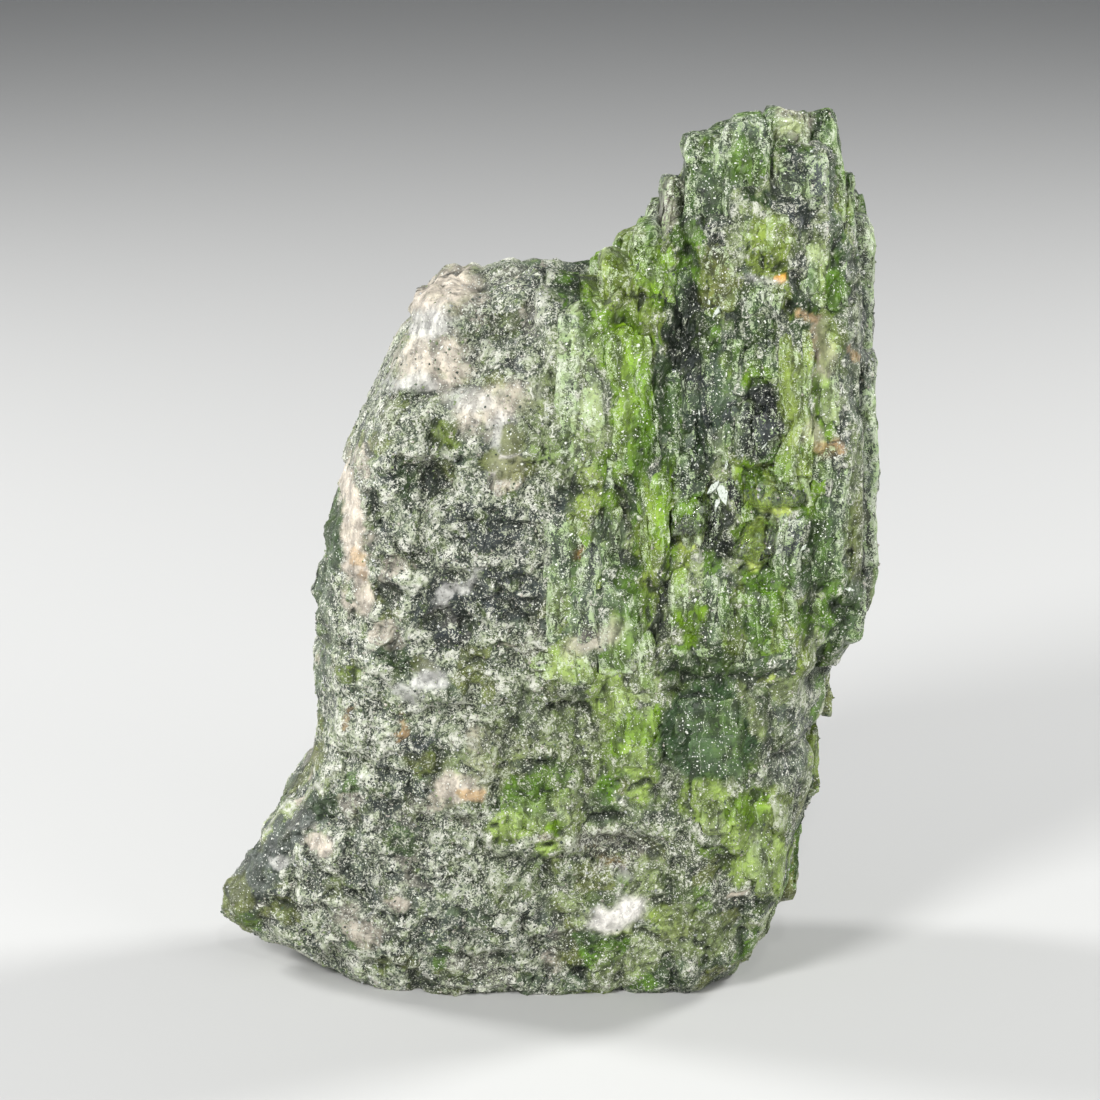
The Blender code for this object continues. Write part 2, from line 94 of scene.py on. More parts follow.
def smoothStep(value):
    # 3 t squared less 2 t cubed, with t kept within 0 and 1
    t = np.clip(value, 0, 1)
    return t * t * (3 - 2 * t)


def turned(x, z, degrees):
    # places turned about the origin
    c, s = math.cos(math.radians(degrees)), math.sin(math.radians(degrees))
    return c * x - s * z, s * x + c * z


grains = {
    "left": -32, "right": 33, "foot": -8, "top": 82,  # the field that large grains are spread over
    "jitter": 0.4, "reach": 0.66, "lowest": 0.15,  # wander and half width in cells; least height
    "chipJitter": 0.7, "chipReach": 0.68,
}


def cutOff(plane, over, high, size, reach, slope):
    # a grain's top plane, cut off by sides that rise at this slope from its edges
    side = np.minimum(size[0] * reach - np.abs(over), size[1] * reach - np.abs(high))
    return np.minimum(plane, slope * side)


def grainHeight(x, z, size, tilt, height, slope, seed):
    # the highest of the nearest flat-topped grains, each a tilted plane within its own steep sides
    wide, tall = size
    random = np.random.default_rng(seed)
    columns, rows = np.meshgrid(
        np.arange(grains["left"], grains["right"], wide), np.arange(grains["foot"], grains["top"], tall),
    )
    shape, count, jitter = columns.shape, columns.size, grains["jitter"]
    middleX = (columns.ravel() + random.uniform(-jitter, jitter, count) * wide).reshape(shape)
    middleZ = (rows.ravel() + random.uniform(-jitter, jitter, count) * tall).reshape(shape)
    tiltX, tiltZ = random.uniform(-tilt, tilt, (2, count)).reshape(2, *shape)
    top = (random.uniform(grains["lowest"], 1.0, count) * height).reshape(shape)
    nearColumn = np.round((x - grains["left"]) / wide).astype(int)
    nearRow = np.round((z - grains["foot"]) / tall).astype(int)
    highest = np.zeros_like(x)
    for stepRow in (-1, 0, 1):
        for stepColumn in (-1, 0, 1):
            steps = zip((nearRow + stepRow, nearColumn + stepColumn), shape)
            at = tuple(np.clip(cell, 0, most - 1) for cell, most in steps)
            over, high = x - middleX[at], z - middleZ[at]
            plane = top[at] + tiltX[at] * over + tiltZ[at] * high
            highest = np.maximum(highest, cutOff(plane, over, high, size, grains["reach"], slope))
    return highest


def chipHeight(x, z, size, turn, tilt, height, slope, seed):
    # like grainHeight, but the cells are turned and staggered, and each takes its numbers from its own place
    wide, tall = size
    gx, gz = turned(x, z, turn)
    gx, gz = gx / wide, gz / tall
    row = np.floor(gz).astype(np.int64)
    highest = np.zeros_like(x)
    for stepRow in (-1, 0, 1):
        here = row + stepRow
        stagger = 0.5 * (here % 2)
        column = np.floor(gx + stagger).astype(np.int64)
        for stepColumn in (-1, 0, 1):
            cell = column + stepColumn
            jitterX, jitterZ, tiltX, tiltZ, top = (hashUnit(cell, here, k, seed) for k in range(5))
            over = (gx + stagger - cell - 0.5 - grains["chipJitter"] * (jitterX - 0.5)) * wide
            high = (gz - here - 0.5 - grains["chipJitter"] * (jitterZ - 0.5)) * tall
            plane = top * height + tilt * ((2 * tiltX - 1) * over + (2 * tiltZ - 1) * high)
            highest = np.maximum(highest, cutOff(plane, over, high, size, grains["chipReach"], slope))
    return highest


# the rock's outline and its two broad faces

outline = {
    "left": [
        (-27.8, 4.6), (-27.5, 6.9), (-25.9, 8.9), (-24.5, 12), (-22.6, 14.4), (-20.4, 17.4), (-19.5, 20.7),
        (-19.8, 27.5), (-19.9, 31), (-18.8, 34.5), (-18.6, 38.5), (-17.3, 43.1), (-16.1, 46.9), (-14.7, 49.3),
        (-12.9, 53.3), (-11.7, 55.3), (-11.1, 57.8),
    ],
    "top": [
        (-11.1, 57.8), (-9.5, 59.1), (-7.9, 59.6), (-5.6, 58.9), (-3.6, 59.8), (-1.3, 60.3), (2.2, 59.6),
        (3.9, 59.4), (4.8, 60.2), (6.2, 60.8), (7, 62.2), (8.2, 63.2), (9.4, 65.6), (10.4, 66.8),
        (11.2, 68.8), (12.6, 69.8), (13.6, 70.4), (15.2, 71), (17.8, 71.6), (20.9, 71.5), (22.4, 70.8),
    ],
    "right": [
        (16.2, 0.6), (17, 2.7), (18.9, 4.9), (20.3, 8.8), (20.5, 12), (21.6, 15.5), (22.3, 18), (22.4, 20.2),
        (21.5, 21.9), (22.9, 23.8), (23.2, 26.3), (24.4, 28), (26.6, 30.3), (26.9, 33.3), (26.6, 37),
        (26.8, 45), (26.3, 54.5), (25.8, 59.5), (25.2, 64.2), (23.9, 66.5), (23.2, 68.4), (23.2, 69.8),
        (22.4, 70.8),
    ],
    "bottom": [
        (-27.8, 4.6), (-26.3, 2.7), (-24, 2), (-21, 1.1), (-18, 0), (-14, -2.2), (-8, -3.4), (0, -3.4),
        (8, -3.4), (12, -2.2), (14.5, -0.8), (16.2, 0.6),
    ],
}

rock = {
    "acrossCells": 316, "upCells": 416,  # front grid; the back has backShare of each
    "backShare": 0.64,
    "gridWidth": 46.0, "gridHeight": 66.0, "gridRim": 8.0,  # sizes that the grid is spaced by
    "rimLap": 0.05,  # how far each half reaches past the rim's plane
    "sideSeed": 37, "sideCutIn": 0.75, "sideSharpness": 8,
    "rimPowerAcross": 3.4, "rimPowerUp": 4.0, "rimBlend": 3.0,
    "rimFade": (1.8, 0.45),  # how fast, and from where, the relief comes in behind the rim
    "frontDepth": 12.8, "backDepth": 12.4,
    # how much thinner, from which height or place across, and over what run
    "topThinning": (3.6, 44, 30), "toeThinning": (4.6, -12, 16), "shoulderThinning": (2.2, 42, 18, 2, 12),
    "matrixGrain": (4.8, 4.4), "crystalGrain": (3.6, 9.5),
    "grainSteps": (0.17, 1.5, 0.9),  # tilt, height and slope of the sides
    "crystalZone": (0.5, 2),  # where the green part begins, and over what run
    "frontSeed": 11, "backSeed": 23,
    "cutRelease": 1.1, "cutLeaves": 0.4,  # how fast a cut runs out past its ends, and what it leaves
    "middle": (3.0, 32.0),  # where the inner wall of each half meets
    "frontLumps": [
        (-8, 57.4, 4.2, 2.8, 1.4), (-8.6, 54, 3.4, 2.4, 0.7), (-5, 48.8, 4, 2.8, 0.9),
        (-12.6, 46.4, 3, 3.6, 0.7), (-1.6, 53.6, 2.6, 4.6, 0.6), (-9, 44.4, 1.9, 2.6, -1.3),
        (-13.2, 35.2, 2.2, 2.6, -1.3), (-8.3, 33, 3.6, 3, -1.8), (-2.6, 38, 4.4, 3.4, 0.8),
        (-14.4, 29.6, 3, 2.6, 0.8), (-9.4, 27.2, 3.4, 2.4, 0.9), (-15.2, 23, 3.6, 2.8, 0.7),
        (-7, 18.4, 3, 2.2, 0.8), (-11.6, 15.6, 3.2, 2.8, -0.8), (-17.6, 12.6, 3.2, 2.4, 0.7),
        (-12.4, 8.6, 4, 3, 0.9), (-4.4, 9, 4.4, 3.2, 0.7), (1.8, 26, 3.2, 2.4, -1.6),
        (-1.6, 23, 4.6, 4.2, -0.8), (5.2, 13.6, 5.2, 2, -1.9), (5.8, 8, 3.6, 2.6, 0.9),
        (11, 52, 3, 7.6, -1.6), (8.7, 34, 0.9, 4.6, -1.8), (12.6, 28.6, 5.4, 1.7, -2.2),
        (12, 8.4, 3.6, 3.2, 0.8), (17.3, 13.4, 1.5, 3.6, -1.7), (-25.4, 6.4, 2.2, 2.2, 1),
    ],
    "backLumps": [
        (-9, 52, 4.6, 4, 1.1), (-1, 45, 4, 7, -1.3), (-13, 38, 4, 5, 0.9), (4, 30, 6, 4, 1.2),
        (14, 22, 5, 5, -1.5), (-8, 22, 6, 4, 1.1), (-18, 12, 4, 4, 0.8), (6, 12, 6, 4, 1),
        (-4, 9, 4, 3, -0.9), (20, 38, 4, 7, 0.8), (12, 60, 4, 6, -1), (-10, 30, 3, 3, -1.2),
    ],
    "frontCuts": [
        (-17.6, 32, 8.4, 2.3, 0.02, 22, 46), (-20.2, 14.6, 8.4, 0.5, 0.1, 9, 21),
        (22.6, 20, 6.2, -1.9, 0, 8, 28), (-12, 54.6, 8.2, 0.55, -0.42, 44, 60), (4, 1.6, 11.8, 0, 0.5, 0, 6),
    ],
    "backCuts": [
        (-14, 32, 9, 0.8, 0.04, 18, 48), (19, 52, 8.4, -0.85, -0.06, 34, 70),
        (2, 58, 8.6, 0.05, -0.3, 44, 66), (8, 6, 9.4, -0.06, 0.55, 0, 16), (-18, 12, 7, 0.42, 0.12, 4, 20),
    ],
}


def along(points, share):
    # points of an open line at these shares of its length
    corners = np.array(points, float)
    reached = np.concatenate([[0.0], np.cumsum(np.hypot(*np.diff(corners, axis=0).T))])
    reached /= reached[-1]
    return [np.interp(share, reached, corners[:, i]) for i in (0, 1)]


def outlinePatch(u, v):
    # both ruled blends of opposite edges added, less the blend of the four corners
    blend = []
    edges = {name: along(outline[name], u if name in ("bottom", "top") else v) for name in outline}
    for axis in (0, 1):
        b0, b1 = outline["bottom"][0][axis], outline["bottom"][-1][axis]
        t0, t1 = outline["top"][0][axis], outline["top"][-1][axis]
        ruled = (1 - v) * edges["bottom"][axis] + v * edges["top"][axis]
        ruled = ruled + (1 - u) * edges["left"][axis] + u * edges["right"][axis]
        blend.append(ruled - (1 - u) * (1 - v) * b0 - u * (1 - v) * b1 - (1 - u) * v * t0 - u * v * t1)
    return blend


def rimRound(u, v):
    # 0 on the rim and 1 inside: the smaller of two superellipses, blended where they meet
    over = np.clip(1 - np.abs(2 * u - 1) ** rock["rimPowerAcross"], 1e-9, 1)
    high = np.clip(1 - np.abs(2 * v - 1) ** rock["rimPowerUp"], 1e-9, 1)
    blend = rock["rimBlend"]
    total = over ** (-blend / rock["rimPowerAcross"]) + high ** (-blend / rock["rimPowerUp"]) - 1
    return total ** (-1 / blend)


def thickness(x, z, most):
    # thinner at the top, towards the toe and on the shoulder
    (top, topFrom, topRun), (toe, toeFrom, toeRun) = rock["topThinning"], rock["toeThinning"]
    shoulder, fromZ, runZ, fromX, runX = rock["shoulderThinning"]
    top = top * smoothStep((z - topFrom) / topRun)
    toe = toe * smoothStep((toeFrom - x) / toeRun)
    return most - top - toe - shoulder * smoothStep((z - fromZ) / runZ) * smoothStep((fromX - x) / runX)


def lumpHeight(x, z, rows):
    # each row is a rounded hump or pit on an ellipse
    total = np.zeros_like(x)
    for middleX, middleZ, halfX, halfZ, height in rows:
        reach = ((x - middleX) / halfX) ** 2 + ((z - middleZ) / halfZ) ** 2
        total += height * np.clip(1 - reach, 0, 1) ** 1.5
    return total


def crystalShare(x):
    # 0 in the matrix and 1 in the green part
    start, run = rock["crystalZone"]
    return smoothStep((x - start) / run + 0.5)


def insideShare(roundOff):
    # 0 on the narrow sides and 1 on the broad faces
    fast, start = rock["rimFade"]
    return smoothStep(roundOff * fast - start)


def largeGrains(across, up, crystal, seed):
    # squarish grains in the matrix, and upright ones in the green part
    matrix = grainHeight(across, up, rock["matrixGrain"], *rock["grainSteps"], seed)
    upright = grainHeight(across, up, rock["crystalGrain"], *rock["grainSteps"], seed + 1)
    return matrix + crystal * (upright - matrix)


def faceDepth(x, z, roundOff, side):
    # rounded slab, cut by flat broken faces, with lumps and large grains on it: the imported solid's own form
    depth = thickness(x, z, rock[side + "Depth"]) * roundOff
    for pointX, pointZ, pointDepth, across, up, low, high in rock[side + "Cuts"]:
        cut = pointDepth + across * (x - pointX) + up * (z - pointZ)
        cut = cut + rock["cutRelease"] * np.maximum(0, np.maximum(low - z, z - high))
        depth = np.minimum(depth, np.maximum(cut, rock["cutLeaves"] * depth))
    texture = largeGrains(x, z, crystalShare(x), rock[side + "Seed"]) - rock["grainSteps"][1] / 2
    depth = depth + insideShare(roundOff) * (lumpHeight(x, z, rock[side + "Lumps"]) + texture)
    return depth * (roundOff > 0.01)


fineRelief = {
    # amount and size of each wander: the grain edges, finer, on the narrow sides, and the green part's edge
    "warp": (0.9, 2.6), "fineWarp": (0.3, 0.8), "sideWarp": (0.8, 2.4), "zoneWarp": (0.9, 3.0),
    # grain size, turn, tilt, height and slope of the sides
    "matrixChips": (((2.1, 1.7), 28, 0.30, 0.55, 1.1), ((0.95, 0.8), -17, 0.44, 0.28, 1.3)),
    "crystalChips": (((1.5, 4.0), 3, 0.28, 0.44, 1.2), ((0.60, 1.4), -4, 0.42, 0.22, 1.4)),
    "roughness": ((0.15, 1.1), (0.11, 0.5), (0.08, 0.24)),  # height and size of each layer of noise
    "onSides": 0.32, "roughSides": 0.3,  # the share of the chips, and of more noise, on the narrow sides
    "calmed": 0.88,  # how much of it, and of the large grains' steps, is smoothed away on the pale minerals
    "calmedOver": {"front": 7, "back": 5}, "shadedOver": {"front": 5, "back": 4},  # cells either way
    "shadedFrom": 0.35,  # height over the mean round it at which a point counts as a full ridge, and under it a full hollow for the painted shade
    "uprightFrom": (22.0, 9.0), "uprightLeast": 0.25,  # height and run of the upright grains, share below
}


def uprightShare(z):
    # 0 where the green grains are squarish, low down, and 1 where they stand upright
    start, run = fineRelief["uprightFrom"]
    return smoothStep((z - start) / run)


def chipLayers(crystal):
    # the share of the matrix's and of the green part's chips at each point, with each layer's own values
    for kind, share in (("matrixChips", 1 - crystal), ("crystalChips", crystal)):
        for level, chips in enumerate(fineRelief[kind]):
            yield share, level, chips, chips[3] / 2


def fineDepth(x, z, roundOff, side):
    # grains within grains, and noise on top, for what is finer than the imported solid
    seed = rock[side + "Seed"]
    flat = (x, np.zeros_like(x), z)
    warpX = x + drift(flat, fineRelief["warp"], seed + 2) + drift(flat, fineRelief["fineWarp"], seed + 3)
    warpZ = z + drift(flat, fineRelief["warp"], seed + 4) + drift(flat, fineRelief["fineWarp"], seed + 5)
    least = fineRelief["uprightLeast"]
    crystal = crystalShare(x + drift(flat, fineRelief["zoneWarp"], seed + 6))
    crystal = crystal * (least + (1 - least) * uprightShare(z))
    total = np.zeros_like(x)
    for share, level, chips, mean in chipLayers(crystal):
        total += share * (chipHeight(warpX, warpZ, *chips, seed + 7 + level) - mean)
    for layer in fineRelief["roughness"]:
        total = total + drift(flat, layer, seed + 9)
    return total * insideShare(roundOff)


def outward(u, v):
    # the way out of the outline near its rim: each grid direction, weighted towards its own ends
    step, none = 1e-4, 1e-12
    total = [0.0, 0.0]
    for share, du, dv in ((2 * u - 1, step, 0), (2 * v - 1, 0, step)):
        ahead = outlinePatch(np.clip(u + du, 0, 1), np.clip(v + dv, 0, 1))
        behind = outlinePatch(np.clip(u - du, 0, 1), np.clip(v - dv, 0, 1))
        stepX, stepZ = ahead[0] - behind[0], ahead[1] - behind[1]
        weight = np.sign(share) * np.abs(share) ** rock["sideSharpness"] / (np.hypot(stepX, stepZ) + none)
        total = [total[0] + weight * stepX, total[1] + weight * stepZ]
    length = np.hypot(*total) + 1e-3
    return total[0] / length, total[1] / length


def sideSteps(x, y, z, roundOff, over, high):
    # how far the narrow sides stand out: the same large grains, along y and z there and along x and y on top,
    # then the finer ones
    seed, crystal = rock["sideSeed"], crystalShare(x)
    roughSides = fineRelief["roughSides"] + fineRelief["onSides"]
    flank = largeGrains(y, z, crystal, seed)
    crown = grainHeight(x, y, rock["matrixGrain"], *rock["grainSteps"], seed + 2)
    steps = over ** 2 * flank + high ** 2 * crown - rock["sideCutIn"] * rock["grainSteps"][1]
    wx, wy, wz = moved((x, y, z), (x, y, z), fineRelief["sideWarp"], seed + 3)
    for share, level, chips, mean in chipLayers(crystal):
        side = over ** 2 * chipHeight(wy, wz, *chips, seed + 7 + level)
        side = side + high ** 2 * chipHeight(wx, wy, *chips, seed + 9 + level)
        steps += fineRelief["onSides"] * share * (side - mean)
    for height, size in fineRelief["roughness"]:
        steps = steps + roughSides * height * softNoise(x, y, z, size, seed + 11)
    return (1 - insideShare(roundOff)) * steps


# colours of the minerals, and where they lie

minerals = {
    "matrix": (0.095, 0.125, 0.085), "darkMatrix": (0.050, 0.064, 0.050), "blueBlack": (0.026, 0.034, 0.040),
    "cream": (0.57, 0.52, 0.45), "white": (0.62, 0.63, 0.62), "tan": (0.44, 0.31, 0.17),
    "orange": (0.70, 0.36, 0.07), "brown": (0.17, 0.10, 0.03), "dustyTaupe": (0.16, 0.15, 0.13),
    "lime": (0.140, 0.265, 0.010), "apple": (0.075, 0.165, 0.008), "deep": (0.028, 0.062, 0.012),
    "olive": (0.130, 0.155, 0.032), "paleGreen": (0.25, 0.32, 0.14), "yellowGreen": (0.180, 0.255, 0.040),
    "greyGreen": (0.080, 0.118, 0.066), "black": (0.012, 0.016, 0.014), "cleavage": (0.036, 0.078, 0.027),
    # the pale yellow-green glow colour below is painted light: light shining through the crystal, laid on as
    # colour
    "slate": (0.062, 0.078, 0.068), "paintedGlow": (0.50, 0.62, 0.16), "milky": (0.215, 0.275, 0.110),
    "snow": (0.80, 0.79, 0.77), "leaf": (0.250, 0.360, 0.085),
}

# what lies where: mineral, x, z, half width, half height, turn in degrees, dust (how grained it is), strength
patches = {"front": [
    ("milky", 6, 19, 15, 12, 0, 0.8, 0.25), ("slate", 24.6, 50, 1.9, 17, 0, 0.7, 0.6),
    ("slate", -15, 12, 7, 5.5, 30, 0.75, 0.5), ("blueBlack", -4, 37.5, 6, 5, 0, 0.8, 0.35),
    ("darkMatrix", -2.5, 57, 4, 3, 0, 0.9, 0.45), ("darkMatrix", -13.4, 51, 2, 4, -25, 0.9, 0.4),
    ("cream", -8.9, 60.6, 3.5, 2.9, -10, 0.22, 1), ("cream", -9.4, 54.2, 3.2, 2.7, 10, 0.4, 0.9),
    ("white", -9.6, 57.3, 2.1, 1.1, 0, 0.3, 0.7), ("white", -11, 52.2, 2.4, 0.9, 10, 0.3, 0.7),
    ("cream", -4.4, 50.3, 2.9, 1.9, -20, 0.35, 0.8), ("white", -3.8, 47.3, 1.6, 2.7, 15, 0.3, 0.6),
    ("white", -0.8, 51.5, 0.6, 1, 0, 0.2, 0.7), ("white", -6.2, 51, 1.8, 1.1, 0, 0.2, 0.5),
    ("cream", -16.3, 44.2, 0.7, 2.8, -8, 0.15, 1), ("cream", -15.7, 41, 1.2, 2.4, -14, 0.12, 1),
    ("cream", -15.5, 37.8, 0.9, 2.6, 0, 0.15, 0.95), ("cream", -15.4, 34.6, 0.8, 2, 0, 0.2, 0.9),
    ("tan", -15.3, 38.2, 0.5, 1, 0, 0.2, 0.7), ("tan", -15.4, 36.2, 0.4, 0.6, 0, 0.2, 0.6),
    ("deep", -18, 41.5, 0.9, 5, -10, 0.2, 0.9), ("greyGreen", -18.6, 34, 1.1, 6, 0, 0.4, 0.6),
    ("black", -9.4, 44.4, 0.8, 1.9, 0, 0.55, 0.8), ("deep", -11.3, 44.4, 0.9, 2, 0, 0.6, 0.7),
    ("black", -14, 42.6, 0.7, 1.2, 0, 0.5, 0.7), ("blueBlack", -13, 35, 1.2, 1.5, 0, 0.55, 0.75),
    ("yellowGreen", -8.4, 48, 1.3, 0.9, 20, 0.3, 0.7), ("olive", -4.9, 46.4, 1.2, 1, 0, 0.3, 0.8),
    ("olive", -2.8, 47.6, 1.2, 0.9, 0, 0.3, 0.8), ("olive", -2.6, 45.2, 1.7, 1.2, 0, 0.3, 0.8),
    ("apple", 0.7, 47, 1.1, 0.9, 0, 0.3, 0.9), ("apple", -0.7, 46.8, 0.8, 0.7, 0, 0.3, 0.8),
    ("olive", -13.8, 47.5, 1.1, 0.8, 0, 0.4, 0.7), ("blueBlack", -5, 40.6, 3, 1.8, 0, 0.6, 0.7),
    ("blueBlack", 1.2, 43.4, 0.9, 1.9, 0, 0.4, 0.8), ("blueBlack", -8.6, 33.2, 2.6, 2.6, 20, 0.6, 0.85),
    ("blueBlack", -3.4, 34.6, 3.2, 2.2, -10, 0.6, 0.75), ("white", -7, 35.4, 2.4, 0.5, -35, 0.2, 0.7),
    ("brown", 2.3, 38.3, 0.45, 0.5, 0, 0.1, 1), ("white", -9.8, 27.8, 1.4, 1.3, 0, 0.2, 0.8),
    ("white", -11.2, 26.2, 1.4, 0.8, 20, 0.25, 0.6), ("deep", -12.6, 29.6, 1.3, 1.1, 0, 0.4, 0.7),
    ("yellowGreen", -16.4, 28.2, 0.9, 0.7, 0, 0.3, 0.7), ("olive", -10.6, 28.8, 1, 0.6, 0, 0.3, 0.7),
    ("tan", -12, 23.5, 0.4, 0.9, 0, 0.3, 0.8), ("tan", -16.4, 24.2, 0.5, 1.1, 10, 0.3, 0.6),
    ("blueBlack", -9.6, 22, 2, 1, 0, 0.6, 0.6), ("olive", -9.4, 20.8, 1.8, 1, 0, 0.4, 0.7),
    ("paleGreen", -7, 20.6, 1.4, 1.2, 0, 0.5, 0.6), ("cream", -7.6, 18.5, 2.1, 1.2, 0, 0.2, 0.9),
    ("tan", -6.4, 18.2, 1, 0.6, 0, 0.2, 0.9), ("cream", -19, 13.6, 1.2, 0.7, 0, 0.2, 0.9),
    ("cream", -12.6, 9, 0.8, 0.6, 0, 0.3, 0.8), ("black", -23.3, 12.3, 1.6, 1.5, 45, 0.12, 0.6),
    ("slate", -21.5, 14.8, 1.3, 3.8, 45, 0.14, 0.9), ("deep", -19, 17, 1, 1.6, 45, 0.3, 0.6),
    ("slate", -25, 10.4, 2.6, 2.2, 0, 0.08, 0.8), ("olive", -26.4, 8.6, 1.7, 1.6, 0, 0.05, 0.7),
    ("apple", -25.2, 6.6, 1.6, 0.8, 0, 0.05, 0.6), ("olive", -22.6, 7.4, 1.6, 0.8, 0, 0.2, 0.7),
    ("olive", -22.4, 18.4, 1.2, 5, 46, 0.45, 0.8), ("paleGreen", -22.9, 18.9, 0.25, 3.6, 46, 0.6, 0.7),
    ("milky", -21.9, 16.2, 0.32, 6.4, 51, 0.7, 1), ("white", -21.6, 16.5, 0.14, 5.6, 51, 0.5, 0.7),
    ("white", -22.4, 11.9, 0.5, 1, 60, 0.4, 0.6), ("paleGreen", 0.8, 50, 3, 6.5, 0, 0.75, 0.55),
    ("lime", 3.6, 57.6, 1.1, 3, -10, 0.25, 0.9), ("deep", 3.2, 57, 0.7, 2.4, -10, 0.2, 0.8),
    ("yellowGreen", 5.6, 60.5, 2.2, 2.6, 0, 0.45, 0.8), ("lime", 7.6, 61.6, 1.4, 2.2, -20, 0.3, 0.8),
    ("yellowGreen", 6.6, 57, 1.8, 3.4, -20, 0.4, 0.8), ("lime", 6.4, 52, 1.9, 6, -6, 0.25, 0.95),
    # the thin deep patch at x 8.9, z 51 is painted shade down the groove between two columns
    ("apple", 7.6, 47.6, 1.3, 3.4, 0, 0.25, 0.85), ("deep", 8.9, 51, 0.6, 4, 0, 0.3, 0.8),
    ("blueBlack", 3.8, 51.8, 0.6, 2.4, -12, 0.4, 0.8), ("black", 11, 56, 1.6, 5, 0, 0.25, 0.85),
    ("blueBlack", 12.4, 50.5, 2.4, 4.6, 0, 0.35, 0.85), ("deep", 10.8, 46, 1.6, 2.6, 0, 0.3, 0.8),
    ("olive", 13.4, 60.6, 1.5, 3, 0, 0.5, 0.8), ("yellowGreen", 17.4, 63.6, 1.9, 2.6, 0, 0.5, 0.8),
    ("orange", 18.2, 61, 0.55, 0.4, 0, 0.1, 1), ("white", 16.6, 60.8, 1.6, 0.6, 10, 0.4, 0.6),
    ("deep", 16, 57.4, 2, 3, 0, 0.5, 0.7), ("apple", 20.6, 60, 0.9, 2, 0, 0.2, 0.7),
    ("apple", 22.6, 60.2, 0.8, 2.6, 0, 0.15, 0.9), ("paleGreen", 21, 62.6, 1.2, 2, 0, 0.5, 0.7),
    ("paleGreen", 14.9, 64.4, 0.6, 3.6, 6, 0.85, 0.9), ("paleGreen", 15.8, 66.8, 2, 0.7, 30, 0.85, 0.8),
    ("blueBlack", 19.4, 68, 1.9, 3.2, 0, 0.55, 0.9), ("slate", 15.5, 73, 1.7, 1.3, 0, 0.7, 0.9),
    ("cream", 19.1, 73.1, 1.3, 1.3, 0, 0.6, 0.6), ("paleGreen", 19.1, 73.1, 0.8, 0.8, 0, 0.2, 0.9),
    ("cream", 19, 74.2, 1.6, 0.5, 0, 0.3, 0.6), ("deep", 21.6, 73.4, 1.4, 1.6, 0, 0.2, 0.8),
    ("apple", 15.6, 70, 1.5, 1.8, 0, 0.2, 0.9), ("deep", 12.4, 69.3, 1.5, 1.6, 0, 0.2, 0.9),
    # the thin deep patch at x 10.3 and the thin black one at x 12.2 are painted shade down the two slots
    # there
    ("greyGreen", 13.2, 67.8, 1.4, 0.8, 0, 0.3, 0.8), ("deep", 10.3, 67, 0.4, 1.6, 0, 0.1, 0.9),
    ("black", 12.2, 66.4, 0.3, 1.6, 0, 0.1, 0.9), ("dustyTaupe", 9, 67, 0.9, 2, 0, 0.5, 0.8),
    ("tan", 20.4, 57.4, 1.5, 0.55, 5, 0.2, 0.9), ("tan", 21.2, 55.6, 0.6, 1.2, 20, 0.3, 0.8),
    ("cream", 21.8, 55, 1, 2.4, 0, 0.2, 0.8), ("yellowGreen", 22.3, 55.6, 1.3, 2.2, 0, 0.15, 0.6),
    ("tan", 24.2, 54.8, 0.6, 0.5, 0, 0.2, 0.8), ("lime", 16.4, 53, 1, 1, 0, 0.2, 0.8),
    ("black", 16.6, 49.2, 1.7, 2.9, 0, 0.3, 1), ("yellowGreen", 19, 51, 1, 3.4, 0, 0.3, 0.8),
    ("paleGreen", 22, 50.8, 1.2, 1, 0, 0.4, 0.7), ("tan", 22.4, 47.3, 1.3, 0.8, 0, 0.2, 0.8),
    ("cream", 20.8, 48.3, 1, 0.8, 0, 0.2, 0.6), ("lime", 16.6, 44.6, 1.6, 1.2, 20, 0.15, 0.95),
    ("lime", 19, 43, 1, 1, 0, 0.15, 0.9), ("apple", 18.4, 46, 1.4, 1.8, 0, 0.3, 0.7),
    ("black", 11, 44.4, 1.3, 1.6, 0, 0.2, 0.8), ("apple", 11.4, 41.6, 1.6, 1.6, 0, 0.1, 1),
    ("black", 13.9, 40.4, 0.9, 2.4, 0, 0.3, 0.95), ("deep", 16.6, 42, 1.6, 0.8, 0, 0.2, 0.8),
    ("lime", 16.2, 39.4, 1.1, 1.9, -10, 0.15, 1), ("blueBlack", 19.2, 39.4, 1.2, 1.7, 0, 0.6, 0.8),
    ("deep", 21.8, 38, 1.6, 3, 0, 0.4, 0.8), ("apple", 17.6, 36.4, 2.2, 1.6, 0, 0.35, 0.8),
    ("olive", 24.8, 40, 0.9, 4, 0, 0.4, 0.6), ("deep", 23.8, 33.4, 1.6, 1.6, 0, 0.3, 0.7),
    ("apple", 20.8, 32.8, 1.5, 1.4, 0, 0.4, 0.8), ("deep", 13, 33, 4, 2.4, 0, 0.5, 0.6),
    ("lime", 11.2, 32.4, 1.3, 1.6, 0, 0.15, 0.95), ("apple", 7.2, 33, 1, 3, 0, 0.3, 0.6),
    ("apple", 5.8, 30.6, 1.2, 2.4, 0, 0.2, 0.9), ("lime", 9.2, 41, 0.5, 5, 4, 0.2, 0.9),
    ("yellowGreen", 7.8, 41, 0.8, 3.6, 0, 0.3, 0.8), ("blueBlack", 6.6, 43.6, 0.6, 2.6, -14, 0.4, 0.7),
    # the thin black patch at x 8.7, z 33.6 is painted shade down the crack there
    ("greyGreen", 4.9, 39.4, 1.3, 2.6, 0, 0.35, 0.9), ("black", 8.7, 33.6, 0.35, 4.6, 0, 0.3, 0.9),
    ("leaf", 1, 29.6, 2, 1.5, -25, 0.4, 0.9), ("leaf", 2.6, 28, 1.6, 0.8, 0, 0.4, 0.8),
